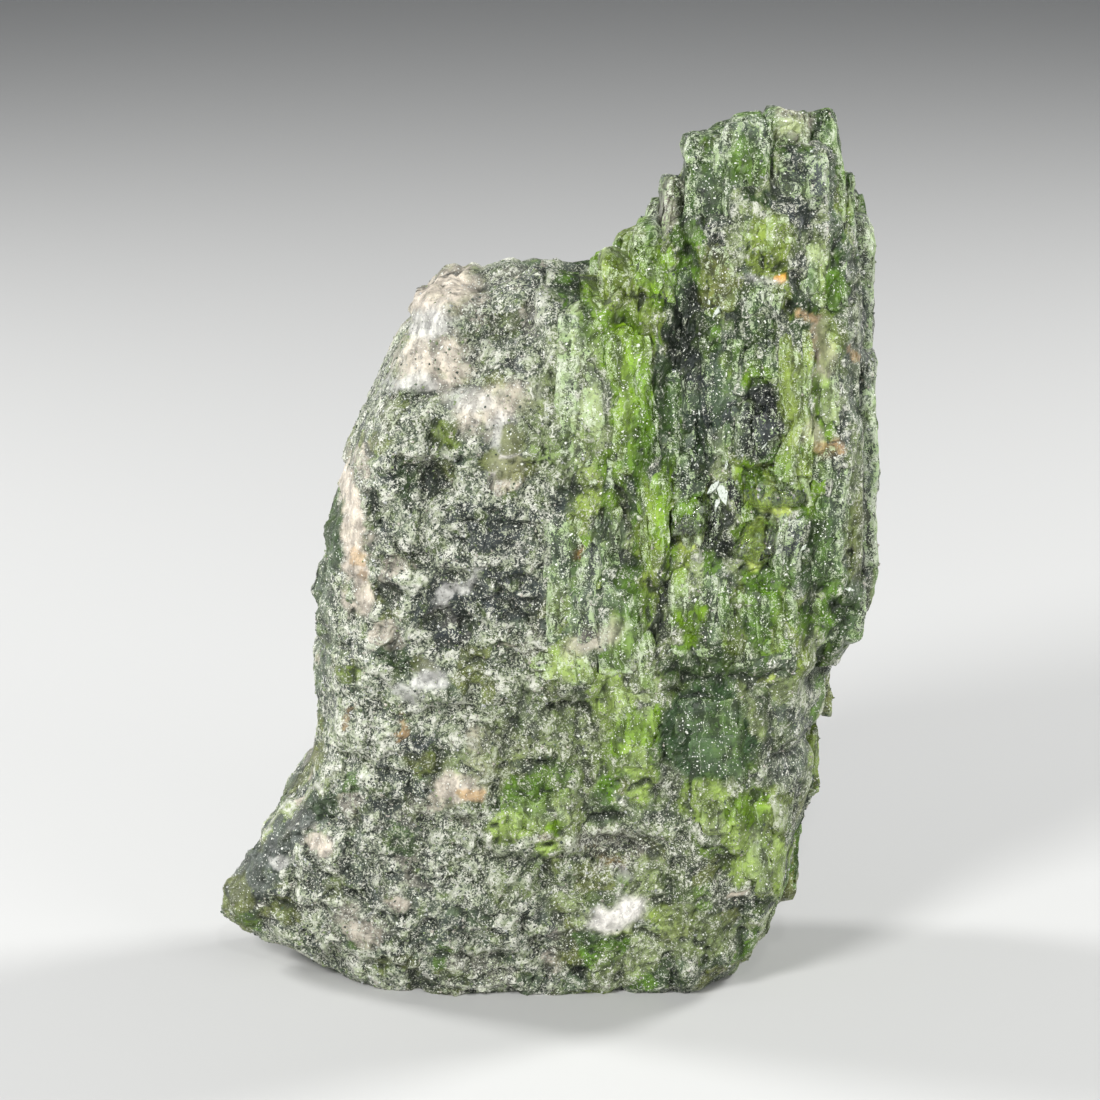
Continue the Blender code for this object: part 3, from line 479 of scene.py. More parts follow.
    ("cream", 3.2, 31, 2.4, 0.9, -20, 0.3, 0.6), ("blueBlack", 1.8, 26.2, 1.8, 1.6, 0, 0.6, 0.7),
    ("milky", -0.6, 21.6, 5, 5.4, 0, 0.8, 0.6), ("apple", 0.4, 19.6, 2.4, 1.6, 20, 0.6, 0.7),
    ("slate", -2, 25, 2, 2, 0, 0.6, 0.5), ("deep", -2.6, 23.6, 0.9, 0.9, 0, 0.2, 0.5),
    ("leaf", 4.6, 26, 1.5, 2.8, -15, 0.5, 1), ("lime", 8, 24.4, 0.9, 1.9, 0, 0.12, 1),
    ("lime", 6.4, 22.8, 1.3, 2.2, -10, 0.25, 1), ("leaf", 7, 20, 1.3, 2.8, -8, 0.5, 1),
    # the deep band at x 13, z 28.8 is painted shade under the ledge above the cleavage face
    ("deep", 13, 28.8, 4.2, 1.2, 0, 0.4, 0.8), ("cleavage", 12.9, 23.6, 4.3, 4.3, 0, 0.22, 1),
    ("apple", 12.6, 24.4, 1.4, 1, 0, 0.1, 0.4), ("milky", 16.2, 25.4, 0.7, 2.8, -22, 0.45, 0.9),
    # the bright patch at x 17.4, z 27.6 is painted light: a glowing pale edge beside the cleavage face
    ("paintedGlow", 17.4, 27.6, 0.8, 0.4, -20, 0.1, 0.9), ("milky", 18.8, 26.8, 1.2, 1, 0, 0.45, 0.9),
    ("slate", 19.4, 22, 2.2, 3.6, 0, 0.7, 0.8), ("apple", 4.6, 18.4, 1, 1.6, 0, 0.2, 1),
    ("paleGreen", 2.6, 18, 1.4, 2.4, 0, 0.6, 0.5), ("greyGreen", 4, 16.8, 1.4, 1.4, 0, 0.3, 0.6),
    ("apple", -2.2, 17.8, 2.2, 1.8, 0, 0.35, 0.9), ("leaf", -2.8, 15.4, 2.4, 1.2, -20, 0.45, 1),
    ("lime", 0.2, 15.6, 1.1, 0.9, 0, 0.15, 1), ("leaf", 0, 13.4, 1.2, 0.9, 0, 0.45, 1),
    ("dustyTaupe", 5, 13.4, 3.6, 1.9, 12, 0.9, 0.8), ("brown", 4.6, 12.6, 2.4, 0.5, 10, 0.8, 0.5),
    ("blueBlack", 9.2, 16.8, 1.8, 1, -20, 0.8, 0.6), ("leaf", 12.6, 18, 2, 1.9, -30, 0.45, 1),
    ("lime", 16.2, 16.6, 1.8, 1.6, 0, 0.25, 1), ("leaf", 15.2, 13.4, 1.2, 2.8, -10, 0.35, 1),
    # the thin black patch at x 17.2, z 12.6 is painted shade down the groove there
    ("black", 17.2, 12.6, 0.3, 3, -26, 0.2, 0.9), ("leaf", 18.8, 12, 1, 3, -10, 0.25, 0.8),
    ("snow", 5.6, 7.6, 2.5, 1.4, -30, 0.12, 1), ("white", 6.6, 11.4, 0.8, 0.8, 0, 0.2, 0.5),
    ("paleGreen", 8, 11.6, 1.2, 1.3, 0, 0.6, 0.6), ("cream", 15.3, 9.4, 0.8, 0.6, 0, 0.1, 0.9),
    ("milky", 12, 6, 3.4, 2.6, 0, 0.45, 0.7), ("milky", -3.6, 9.6, 1.6, 1.2, 0, 0.6, 0.6),
    ("blueBlack", -8.6, 6.4, 1.6, 1.6, 0, 0.7, 0.6), ("blueBlack", 2, 5.6, 2.6, 1.4, 0, 0.7, 0.5),
    ("black", 2.4, 2.4, 0.8, 0.6, 0, 0.3, 0.8), ("milky", 6, 3, 3, 1.2, 0, 0.6, 0.6),
    ("cream", -15.6, 6.6, 2.4, 1.2, 20, 0.7, 0.5), ("darkMatrix", -9, 1.6, 3, 1, 0, 0.8, 0.7),
], "back": [
    ("slate", 25, 46, 2.4, 20, 0, 0.6, 0.6), ("cream", -7, 56, 4, 3, 20, 0.15, 1),
    ("cream", -12, 45, 2.4, 5, -10, 0.2, 0.9), ("blueBlack", -2, 44, 5, 5, 0, 0.7, 0.6),
    ("lime", 8, 50, 3, 9, -6, 0.25, 0.9), ("deep", 14, 56, 3, 8, 0, 0.3, 0.9),
    ("apple", 18, 44, 3.4, 6, 0, 0.25, 0.9), ("yellowGreen", 12, 34, 3, 5, 0, 0.3, 0.8),
    ("black", 16, 36, 2.2, 3, 0, 0.3, 0.9), ("cleavage", 16, 22, 4, 5, 0, 0.2, 0.9),
    ("olive", 8, 20, 4, 4, 0, 0.4, 0.7), ("white", -4, 30, 3, 1.6, 20, 0.15, 0.9),
    ("tan", -10, 26, 1.4, 1, 0, 0.2, 0.8), ("apple", -6, 34, 2.4, 4, 0, 0.3, 0.8),
    ("slate", -18, 14, 5, 4, -40, 0.2, 0.8), ("olive", -25, 8, 2.6, 2.4, 0, 0.1, 0.9),
    ("cream", 2, 12, 3, 1.6, -20, 0.2, 0.8), ("dustyTaupe", 8, 8, 5, 2, 0, 0.8, 0.7),
    ("blueBlack", -10, 12, 3.4, 2, 0, 0.7, 0.7), ("tan", 21, 58, 1.2, 1, 0, 0.2, 0.8),
    # the bright patch at x 14, z 71 is painted light: glow of light shining through the top
    ("paintedGlow", 14, 71, 1.4, 1.2, 0, 0, 0.9), ("yellowGreen", 20, 66, 2, 4, 0, 0.3, 0.8),
    ("deep", 22, 36, 2, 5, 0, 0.3, 0.8),
]}
patchEdge = {
    "wander": (0.75, 1.7), "fray": (0.35, 0.5),  # amount and size
    "softness": 0.30, "pale": ("cream", "white", "snow"), "paleSoftness": 0.75,
    "seeing": (0.268, 11),  # front patches are laid on from above: slope, and the depth from which it counts
    "seeds": {"front": 61, "back": 83},
    "corner": 3.5,  # millimetres behind the middle over which the front's patches give way to the back's
}

mineralCells = {
    "matrixSize": (2.4, 2.4, 2.2), "crystalSize": (1.7, 2.0, 6.0), "lowerSize": (2.9, 2.6, 2.7),
    "seed": 131, "wander": (0.7, 1.6), "jitter": 0.8, "lightness": (0.75, 0.5),
    # mineral, share of the cells, dust, strength
    "matrix": [
        ("matrix", 0.56, 1, 0), ("darkMatrix", 0.13, 0.85, 0.8), ("blueBlack", 0.06, 0.6, 0.7),
        ("olive", 0.08, 0.55, 0.7), ("greyGreen", 0.07, 0.6, 0.8), ("cream", 0.05, 0.45, 0.7),
        ("apple", 0.02, 0.35, 0.7), ("dustyTaupe", 0.03, 0.9, 0.6),
    ],
    "crystal": [
        ("greyGreen", 0.22, 0.6, 0.9), ("apple", 0.14, 0.35, 0.9), ("deep", 0.16, 0.45, 0.9),
        ("yellowGreen", 0.15, 0.5, 0.9), ("slate", 0.13, 0.75, 0.9), ("paleGreen", 0.13, 0.75, 0.9),
        ("lime", 0.07, 0.3, 0.9),
    ],
    "lower": [
        ("greyGreen", 0.26, 0.75, 0.9), ("apple", 0.1, 0.4, 0.9), ("deep", 0.1, 0.5, 0.9),
        ("yellowGreen", 0.14, 0.5, 0.9), ("darkMatrix", 0.1, 0.85, 0.8), ("paleGreen", 0.14, 0.75, 0.9),
        ("olive", 0.12, 0.6, 0.9), ("lime", 0.04, 0.35, 0.9),
    ],
}


def cellNumbers(places, size, seed):
    # two random numbers of the jittered cell whose middle is nearest to each point
    jitter = mineralCells["jitter"]
    scaled = [values / cell for values, cell in zip(places, size)]
    base = [np.floor(values).astype(np.int64) for values in scaled]
    nearest = np.full(scaled[0].shape, np.inf)
    numbers = [np.zeros(nearest.shape), np.zeros(nearest.shape)]
    for step in np.ndindex(3, 3, 3):
        cell = [start + way - 1 for start, way in zip(base, step)]
        distance = sum(
            (scaled[axis] - cell[axis] - 0.5 - jitter * (hashUnit(*cell, seed + axis) - 0.5)) ** 2
            for axis in (0, 1, 2)
        )
        nearer = distance < nearest
        nearest = np.where(nearer, distance, nearest)
        numbers = [np.where(nearer, hashUnit(*cell, seed + 3 + n), old) for n, old in enumerate(numbers)]
    return numbers


def blend(field, share, goal):
    # moves the field towards its goal by this share, in place
    field += (share[:, None] if field.ndim == 2 else share) * (goal - field)


def layMinerals(places, tint, dust, zone, weight):
    # gives each cell a mineral of the zone's mix
    pick, light = cellNumbers(
        moved(places, places, mineralCells["wander"], 140), mineralCells[zone + "Size"], mineralCells["seed"],
    )
    names, shares, dusts, strengths = zip(*mineralCells[zone])
    kind = np.searchsorted(np.cumsum(shares)[:-1], pick)
    strength = weight * np.array(strengths)[kind]
    least, more = mineralCells["lightness"]
    colours = np.array([minerals[name] for name in names])[kind]
    blend(tint, strength, colours * (least + more * light)[:, None])
    blend(dust, strength, np.array(dusts)[kind])


def patchShares(places, side, kinds=None):
    # for each patch the points near it and how far it covers them, 1 inside a wandering ellipse and 0 outside
    x, y, z = places
    slope, depth = patchEdge["seeing"]
    high = z + slope * (y + depth) if side == "front" else z
    wander, fray, seed = patchEdge["wander"], patchEdge["fray"], patchEdge["seeds"][side]
    overX = x + drift(places, wander, seed) + drift(places, fray, seed + 1)
    overZ = high + drift(places, wander, seed + 2) + drift(places, fray, seed + 3)
    for patch in patches[side]:
        mineral, middleX, middleZ, halfX, halfZ, turn = patch[:6]
        if kinds and mineral not in kinds:
            continue
        most = halfX + halfZ + 2
        near = np.nonzero((np.abs(x - middleX) < most) & (np.abs(high - middleZ) < most))[0]
        dx, dz = turned(overX[near] - middleX, overZ[near] - middleZ, turn)
        reach = np.sqrt((dx / halfX) ** 2 + (dz / halfZ) ** 2)
        softness = patchEdge["paleSoftness" if mineral in patchEdge["pale"] else "softness"]
        yield patch, near, smoothStep((1 + softness / 2 - reach) / softness)


def paint(places, tint, dust, side, force=1.0):
    # lays each patch over what is there; force is one number, or one for each point
    force = np.broadcast_to(force, dust.shape)
    for patch, near, share in patchShares(places, side):
        share = force[near] * patch[7] * share
        tint[near] += share[:, None] * (np.array(minerals[patch[0]]) - tint[near])
        dust[near] += share * (patch[6] - dust[near])


def paleCover(places, side):
    # how far the pale minerals cover each point
    cover = np.zeros(places[0].shape)
    for patch, near, share in patchShares(places, side, patchEdge["pale"]):
        cover[near] = np.maximum(cover[near], share)
    return cover


# meshes from arrays

def gridQuads(across, up, wrap=False):
    # corner numbers of each cell of a grid whose points run up first; wrap joins the last column to the first
    i, j = np.meshgrid(np.arange(across if wrap else across - 1), np.arange(up - 1), indexing="ij")
    here, following = i * up + j, (i + 1) % across * up + j
    return np.stack([here, following, following + 1, here + 1], -1).reshape(-1, 4)


def objectFrom(name, points, faces):
    # a mesh object at the origin, its points in metres
    mesh = bpy.data.meshes.new(name)
    mesh.from_pydata(points.tolist(), [], faces)
    thing = bpy.data.objects.new(name, mesh)
    bpy.context.scene.collection.objects.link(thing)
    return thing


def pieceFrom(name, points, data):
    # points in metres, the other values in data: faces, a mineral colour and two numbers for each point
    piece = objectFrom(name, points, data["faces"])
    attributes = piece.data.attributes
    for key in ("dust", "relief"):
        attributes.new(key, "FLOAT", "POINT").data.foreach_set("value", np.asarray(data[key], np.float32))
    shades = np.concatenate([data["tint"], np.ones((len(points), 1))], axis=1).astype(np.float32)
    attributes.new("tint", "FLOAT_COLOR", "POINT").data.foreach_set("color", shades.ravel())
    return piece


def blurred(field, cells):
    # running mean over a square of this many cells either way
    for axis in (0, 1):
        padding = [(cells + 1, cells) if a == axis else (0, 0) for a in (0, 1)]
        total = np.cumsum(np.pad(field, padding, mode="edge"), axis=axis)
        upper = np.take(total, np.arange(2 * cells + 1, total.shape[axis]), axis=axis)
        lower = np.take(total, np.arange(0, total.shape[axis] - 2 * cells - 1), axis=axis)
        field = (upper - lower) / (2 * cells + 1)
    return field


def spaced(cells, power, width):
    # shares of the way across, at even steps along the rounded section
    even = np.linspace(0, 1, 6001)
    share = np.where(even < 0.5, 0.5 * (2 * even) ** 5, 1 - 0.5 * (2 - 2 * even) ** 5)
    roundOff = np.clip(1 - np.abs(2 * share - 1) ** power, 0, 1) ** (1 / power)
    steps = np.hypot(width * np.diff(share), rock["gridRim"] * np.diff(roundOff))
    reached = np.concatenate([[0.0], np.cumsum(steps)])
    return np.interp(np.linspace(0, reached[-1], cells + 1), reached, share)


zoning = {
    # amount and size of each wander: the green part's edge, its upright part, the corner, the painted glow
    "green": (1.2, 2.2), "upright": (2.5, 3.0), "corner": (1.2, 2.4), "paintedGlow": (0.3, 1.1),
    "paintedGlowFrom": 0.1, "paintedGlowSoftness": 0.4, "paintedGlowDust": 0.15,  # painted glow: bright colour on the rock behind the clear crystals, standing in for light shining through them
}


def rockMinerals(places, side):
    # the minerals of each zone, then the patches, then a painted glow on the rock behind the clear crystals,
    # as if lit through them
    tint = np.tile(np.array(minerals["matrix"]), (places[0].size, 1))
    dust = np.ones(len(tint))
    green = crystalShare(places[0] + drift(places, zoning["green"], 151))
    upright = uprightShare(places[2] + drift(places, zoning["upright"], 152))
    zones = {"matrix": 1 - green, "crystal": green * upright, "lower": green * (1 - upright)}
    for zone, weight in zones.items():
        layMinerals(places, tint, dust, zone, weight)
    own = 1.0
    if side == "back":
        # the front's patches fade out round the corner, where the back's come in
        corner = drift(places, zoning["corner"], 154) * smoothStep(places[1])
        own = smoothStep((places[1] + corner) / patchEdge["corner"])
        paint(places, tint, dust, "front", 1 - own)
    paint(places, tint, dust, side, own)
    # painted glow on the rock behind each clear crystal
    for number in clearRows[side]:
        outside = outsideOval(places[0], places[2], columns[side][number])
        inside = drift(places, zoning["paintedGlow"], 153) - zoning["paintedGlowFrom"] - outside
        behind = smoothStep(inside / zoning["paintedGlowSoftness"])
        blend(tint, behind, np.array(minerals["paintedGlow"]))
        blend(dust, behind, zoning["paintedGlowDust"])
    return tint, dust


def rockSheet(side):
    # one broad face on a grid inside the outline, with everything that is laid on it
    share = 1.0 if side == "front" else rock["backShare"]
    nu, nv = int(rock["acrossCells"] * share), int(rock["upCells"] * share)
    across = spaced(nu, rock["rimPowerAcross"], rock["gridWidth"])
    u, v = np.meshgrid(across, spaced(nv, rock["rimPowerUp"], rock["gridHeight"]), indexing="ij")
    x, z = outlinePatch(u, v)
    roundOff = rimRound(u, v)
    form = bedded(x, z, faceDepth(x, z, roundOff, side), side)
    pale = paleCover([values.ravel() for values in (x, towards[side] * form, z)], side).reshape(x.shape)
    pale = fineRelief["calmed"] * pale * insideShare(roundOff)
    depth = form + pale * (blurred(form, fineRelief["calmedOver"][side]) - form)
    depth = depth + fineDepth(x, z, roundOff, side) * (1 - pale)
    depth = np.maximum(depth + lumpHeight(x, z, bed[side + "Cracks"]), 0)
    rim = (u == 0) | (u == 1) | (v == 0) | (v == 1)
    depth = np.where(rim, -rock["rimLap"], depth)
    y = towards[side] * depth
    over, high = outward(u, v)
    steps = sideSteps(x, np.where(rim, 0, y), z, roundOff, over, high)
    body = depth + steps
    # relief is each point's height over the mean round it: the materials paint shade where it is low and
    # frost where it is high
    relief = (body - blurred(body, fineRelief["shadedOver"][side])) / fineRelief["shadedFrom"]
    points = np.stack([x + over * steps, y, z + high * steps], -1)
    tint, dust = rockMinerals([points[..., axis].ravel() for axis in (0, 1, 2)], side)
    return {
        "points": points, "tint": tint.reshape(points.shape), "dust": dust.reshape(x.shape),
        "relief": np.clip(relief, -1, 1),
    }


def closedPart(sheet, first, last, side):
    # the sheet between two columns of its grid, closed by a fan to a point inside the rock
    part = {key: field[first:last + 1] for key, field in sheet.items()}
    across, up = part["dust"].shape
    quads = gridQuads(across, up)
    bottom, right = np.arange(across - 1) * up, (across - 1) * up + np.arange(up - 1)
    top, left = np.arange(across - 1, 0, -1) * up + up - 1, np.arange(up - 1, 0, -1)
    loop = np.concatenate([bottom, right, top, left])
    fan = np.stack([np.roll(loop, -1), loop, np.full(len(loop), across * up)], -1)
    if side == "back":
        quads, fan = quads[:, ::-1], fan[:, ::-1]
    middle = [[rock["middle"][0], 0, rock["middle"][1]]]
    return {
        "points": np.concatenate([part["points"].reshape(-1, 3), middle]),
        "faces": quads.tolist() + fan.tolist(),
        "tint": np.concatenate([part["tint"].reshape(-1, 3), [minerals["matrix"]]]),
        "dust": np.append(part["dust"].ravel(), 1.0), "relief": np.append(part["relief"].ravel(), 0.0),
    }


# crystal columns

columns = {
    "cornerCut": 0.36, "tipAcross": 0.80, "tipDeep": 0.62,  # of the half width; of the section, at the tips
    "mostTurn": 0.16, "mostTipSlope": 0.20, "turnStep": 2.3, "slopeStep": 3.7,  # and how both differ
    "tipDome": 0.22, "edgeWidth": 0.24,  # roundness of the tips, width of the frosted edges
    "flatSteps": (0.0, 0.07, 0.30, 0.50, 0.70, 0.93), "cornerSteps": (0.0, 0.5),
    "plainFlatSteps": (0.0, 0.12, 0.5, 0.88), "plainCornerSteps": (0.0,), "plainBelow": 0.7,  # small ones
    "rings": (3, 4, 34, 4, 3),  # dome, taper, body, taper, dome
    "terrace": (0.22, 1.5, 4.0), "terraceLevels": 2.2,  # depth, and the width and height of the growth steps
    "wander": ((0.42, 3.8), (0.12, 1.5)),  # amount and size by which all columns bend together
    "wobble": ((0.14, 2.6), (0.10, 0.9), (0.07, 0.4)), "chipNoise": (2.2, 1.3),
    "chip": 0.60, "extraDust": 0.15, "mixing": 0.65, "painted": 0.70, "lowerEdges": 0.2,
    "cloud": (0.22, 1.8, 0.45),  # light and dark: amount, size, and how much it is drawn out upright
    # mineral, dust, then left, right, foot, top, front, back, lean, foot taper, tip taper
    "front": [
        ("apple", 0.4, 13.7, 17.5, 60, 73, -9, -3.2, 0, 1, 2.4),
        ("greyGreen", 0.45, 17, 20.5, 62, 73.4, -8.2, -2.5, 0, 1, 1.3),
        ("deep", 0.35, 20, 23.1, 60.5, 73.2, -7.3, -2.1, 0, 1, 1.6),
        ("deep", 0.5, 10.5, 14.2, 58.3, 71.6, -8.7, -3.5, 0.01, 1, 1.8),
        ("dustyTaupe", 0.55, 8.8, 10.7, 58, 68.1, -7.6, -2.6, 0.03, 1, 1.3),
        ("slate", 0.6, 6.5, 8.9, 56, 64.6, -8.4, -3, 0.03, 1, 1.2),
        ("yellowGreen", 0.45, 4.1, 6.7, 53, 62, -9.4, -3.4, 0.02, 1, 1.2),
        ("blueBlack", 0.6, 17.9, 21.6, 65.4, 71, -9.6, -4.4, 0, 0.8, 0.9),
        ("deep", 0.45, 21.5, 24.2, 60, 68.4, -6.6, -1.8, -0.03, 1, 1.5),
        ("slate", 0.6, 22.9, 25.9, 50, 64.8, -5.8, -1, -0.02, 1, 1.8),
        ("olive", 0.5, 12, 15.1, 57.4, 63.8, -11.2, -2, 0, 1.6, 0.9),
        ("yellowGreen", 0.5, 15.3, 19.4, 61, 66.4, -11, -2, 0.02, 2, 0.9),
        ("paleGreen", 0.5, 19.7, 21.7, 57.6, 64.4, -10.6, -2, 0, 0.8, 0.9),
        ("apple", 0.25, 21.6, 23.4, 57.2, 62.8, -9.8, -2, 0, 0.8, 0.9),
        ("lime", 0.35, 6.9, 9.8, 55, 63.6, -10.6, -2, 0.03, 0.8, 1.2),
        ("deep", 0.35, 9.6, 12.1, 53.4, 62.6, -10, -2, -0.02, 0.8, 1.2),
        ("lime", 0.3, 4.5, 8.6, 44.2, 57.4, -12.9, -2, -0.06, 1.6, 1.4),
        ("paleGreen", 0.65, 0.4, 4.4, 44.6, 58.6, -12.3, -2, 0.02, 1.2, 1.6),
        ("blueBlack", 0.3, 8.8, 12.2, 44, 54.6, -11.6, -2, 0, 1.2, 1.6),
        ("deep", 0.4, 12.1, 15.1, 46.4, 57.2, -12.2, -2, 0, 0.9, 0.9),
        ("black", 0.3, 15, 18.1, 46.1, 52.1, -12.8, -2, 0.02, 1.7, 1.5),
        ("deep", 0.5, 15.1, 18.4, 52.4, 60.8, -11.9, -2, 0, 0.7, 1),
        ("yellowGreen", 0.4, 18.3, 20.7, 43.6, 57.2, -12.6, -2, -0.01, 1, 1),
        ("paleGreen", 0.35, 20.5, 23.2, 48.4, 57.2, -11.2, -2, 0, 0.8, 1),
        ("slate", 0.75, 23, 26.4, 36, 52, -8, -3.2, 0, 1.2, 1.6),
        ("lime", 0.3, 7, 9.4, 36.8, 46.4, -13.6, -2, -0.02, 1, 1),
        ("apple", 0.15, 9.6, 12.8, 38.4, 44.6, -13, -2, 0.14, 2.2, 2.6),
        ("black", 0.3, 12.9, 15.2, 37.6, 45.6, -12.4, -2, 0.02, 0.9, 1),
        ("lime", 0.2, 15.1, 19.7, 41.4, 46.4, -13.4, -2, -0.24, 1.9, 2.4),
        ("lime", 0.15, 15, 17.9, 36.8, 42.2, -13.9, -2, 0.18, 2.2, 2.4),
        ("slate", 0.55, 18, 20.4, 36, 42.4, -12.8, -2, 0, 0.8, 1),
        ("deep", 0.45, 20.2, 23.6, 35, 48.2, -11.9, -2, 0, 1.2, 1),
        ("greyGreen", 0.45, 9.8, 14.8, 30.2, 38.8, -13.5, -2, 0.01, 0.9, 1.6),
        ("apple", 0.4, 15, 19.9, 29.4, 37, -13.2, -2, 0, 0.9, 1),
        ("greyGreen", 0.45, 20, 25.4, 29.4, 35.2, -9.8, -2.6, 0, 1.2, 1.4),
        ("greyGreen", 0.45, 4, 7.6, 28.4, 37.4, -13.9, -2, -0.01, 0.8, 1.6),
        ("greyGreen", 0.6, -0.2, 3.9, 30.8, 43.6, -13.6, -2, 0, 0.9, 1.6),
        ("cleavage", 0.2, 9.1, 17.2, 19, 27.2, -12.9, -2, 0, 0.5, 0.4),
        ("milky", 0.4, 12.1, 15.3, 14.4, 19.6, -13.9, -2, 0.02, 1, 0.8),
        ("milky", 0.4, 15.1, 18.2, 9.8, 18.4, -12.2, -2, 0.06, 1.2, 1),
        ("milky", 0.45, 5, 8.8, 20.4, 28.2, -14.1, -2, 0, 1, 0.8),
        ("milky", 0.45, -3.8, 1.8, 14, 19.8, -14.1, -2, 0.03, 2.2, 1.2),
        ("milky", 0.45, -1.3, 3.5, 28, 31.4, -14.3, -2, 0, 0.7, 1),
        ("milky", 0.5, 14.8, 18.8, 2.6, 9.8, -7.6, 2, 0.14, 1.8, 1),
        ("deep", 0.45, 12.6, 16, 58, 71.4, -4.1, 1.5, 0, 1, 1.6),
        ("greyGreen", 0.5, 16.1, 19.4, 60, 72.3, -3.4, 2.1, 0.01, 1, 1.2),
        ("apple", 0.4, 19.5, 22.6, 58, 71.8, -2.9, 2.4, 0, 1, 1.4),
        ("slate", 0.55, 8.9, 12.5, 56, 67.4, -3.9, 1.8, 0.02, 1, 1.2),
        ("yellowGreen", 0.45, 5.2, 8.8, 54, 62.8, -3.9, 2.5, 0.02, 1, 1.4),
        ("slate", 0.6, 22.4, 25.6, 48, 66.2, -1.6, 2.8, -0.02, 1, 1.8),
        ("greyGreen", 0.6, 23.2, 26.7, 38, 53.5, -3.4, 1.2, 0, 1.4, 1.4),
        ("greyGreen", 0.5, 11.4, 14.8, 56, 69.2, 1.2, 5.8, 0, 1, 1.8),
        ("yellowGreen", 0.45, 14.9, 18, 56, 70.8, 1.8, 6.4, 0.01, 1, 1.4),
        ("deep", 0.45, 18.1, 21.6, 58, 69.6, 2, 6, 0, 1, 1.2),
        ("apple", 0.45, 7.8, 11.3, 52, 64.6, 1.6, 6.6, 0.02, 1, 1.6),
        ("slate", 0.6, 21.7, 24.5, 46, 63.2, 2.6, 6.8, -0.01, 1, 1.4),
        ("deep", 0.5, 22.6, 26, 34, 50.4, 1, 5.8, 0, 1.2, 1.2),
        ("lime", 0.4, 3.4, 7.2, 50, 60, 2.2, 7, 0, 1.2, 1.4),
        ("yellowGreen", 0.4, 19, 22.2, 15, 21.6, -5.4, 0.2, 0, 1.2, 1),
        ("olive", 0.4, 17.6, 20.9, 5.4, 14.4, -4.6, 1, 0.06, 1.4, 1.2),
        ("greyGreen", 0.5, 18.8, 21.9, 10.6, 19.4, 0.4, 5, 0.02, 1.2, 1),
        ("olive", 0.4, 20.4, 23.4, 22.4, 28.6, -4.6, 0.6, 0.02, 1, 1),
        ("deep", 0.45, 20, 22.8, 19.4, 27.4, 0.8, 5.4, 0.01, 1, 1.2),
    ],
    "back": [
        ("deep", 0.35, 13, 16.4, 54, 69, 0, 9, 0, 1, 2),
        ("yellowGreen", 0.4, 17, 21.2, 48, 70.4, 0, 8.8, 0.01, 1.2, 2),
        ("greyGreen", 0.5, 8.4, 12.4, 46, 64, 0, 11.2, 0.02, 1.2, 1.6),
        ("lime", 0.3, 4.2, 7.8, 38, 57, 0, 12.9, -0.03, 1.4, 1.6),
        ("slate", 0.6, 20.2, 24.2, 30, 50, 0, 10.6, 0, 1.2, 1.2),
        ("apple", 0.3, 13.6, 19.4, 31, 46, 0, 13.6, 0, 1, 1.4),
        ("yellowGreen", 0.35, 9, 12.6, 22, 38, 0, 14, 0.01, 1.2, 1.4),
        ("cleavage", 0.25, 14, 18.6, 12, 26.4, 0, 12.6, 0.02, 1.2, 1.4),
        ("apple", 0.35, -7.6, -3.4, 26, 40, 0, 13.8, -0.02, 1.6, 1.6),
    ],
}


def columnProfile(halfX, halfY, plain):
    # eight-sided section with its corners cut, and the distance of each point from the nearest edge
    cut = columns["cornerCut"] * min(halfX, halfY)
    flatX, flatY = halfX - cut, halfY - cut
    corners = np.array([
        (-flatX, -halfY), (flatX, -halfY), (halfX, -flatY), (halfX, flatY),
        (flatX, halfY), (-flatX, halfY), (-halfX, flatY), (-halfX, -flatY),
    ])
    kinds = ("plainFlatSteps", "plainCornerSteps") if plain else ("flatSteps", "cornerSteps")
    points, fromEdge = [], []
    for i in range(8):
        start, end = corners[i], corners[(i + 1) % 8]
        steps = np.array(columns[kinds[i % 2]])
        points.append(start + steps[:, None] * (end - start))
        fromEdge.append(np.minimum(steps, 1 - steps) * np.linalg.norm(end - start))
    return np.concatenate(points), np.concatenate(fromEdge)


def columnRings(low, high, detail):
    # for each ring its height and the width and depth of its section: a low dome at both ends, then a
    # quarter ellipse from the tip's section to the full one; low and high are each a height and a taper
    counts = [max(2, round(count * detail)) for count in columns["rings"]]
    keys = np.concatenate([
        np.linspace(start, start + 1, count, endpoint=False)[1 if start == 0 else 0:]
        for start, count in enumerate(counts)
    ])
    ends = ([0, 0, 1, 1, 0, 0], [0, 1, 1, 1, 1, 0])
    full, tip = (np.sin(np.pi / 2 * np.interp(keys, range(6), shares)) for shares in ends)
    dome = columns["tipDome"] * (1 - np.sqrt(np.clip(1 - tip ** 2, 0, 1)))
    rise = dome + (1 - columns["tipDome"]) * np.interp(keys, range(6), ends[0])
    body = np.interp(keys, (2, 3), (low[0] + low[1], high[0] - high[1]))
    z = np.where(keys < 2, low[0] + low[1] * rise, np.where(keys > 3, high[0] - high[1] * rise, body))
    return [z] + [tip * (columns[key] + (1 - columns[key]) * full) for key in ("tipAcross", "tipDeep")]


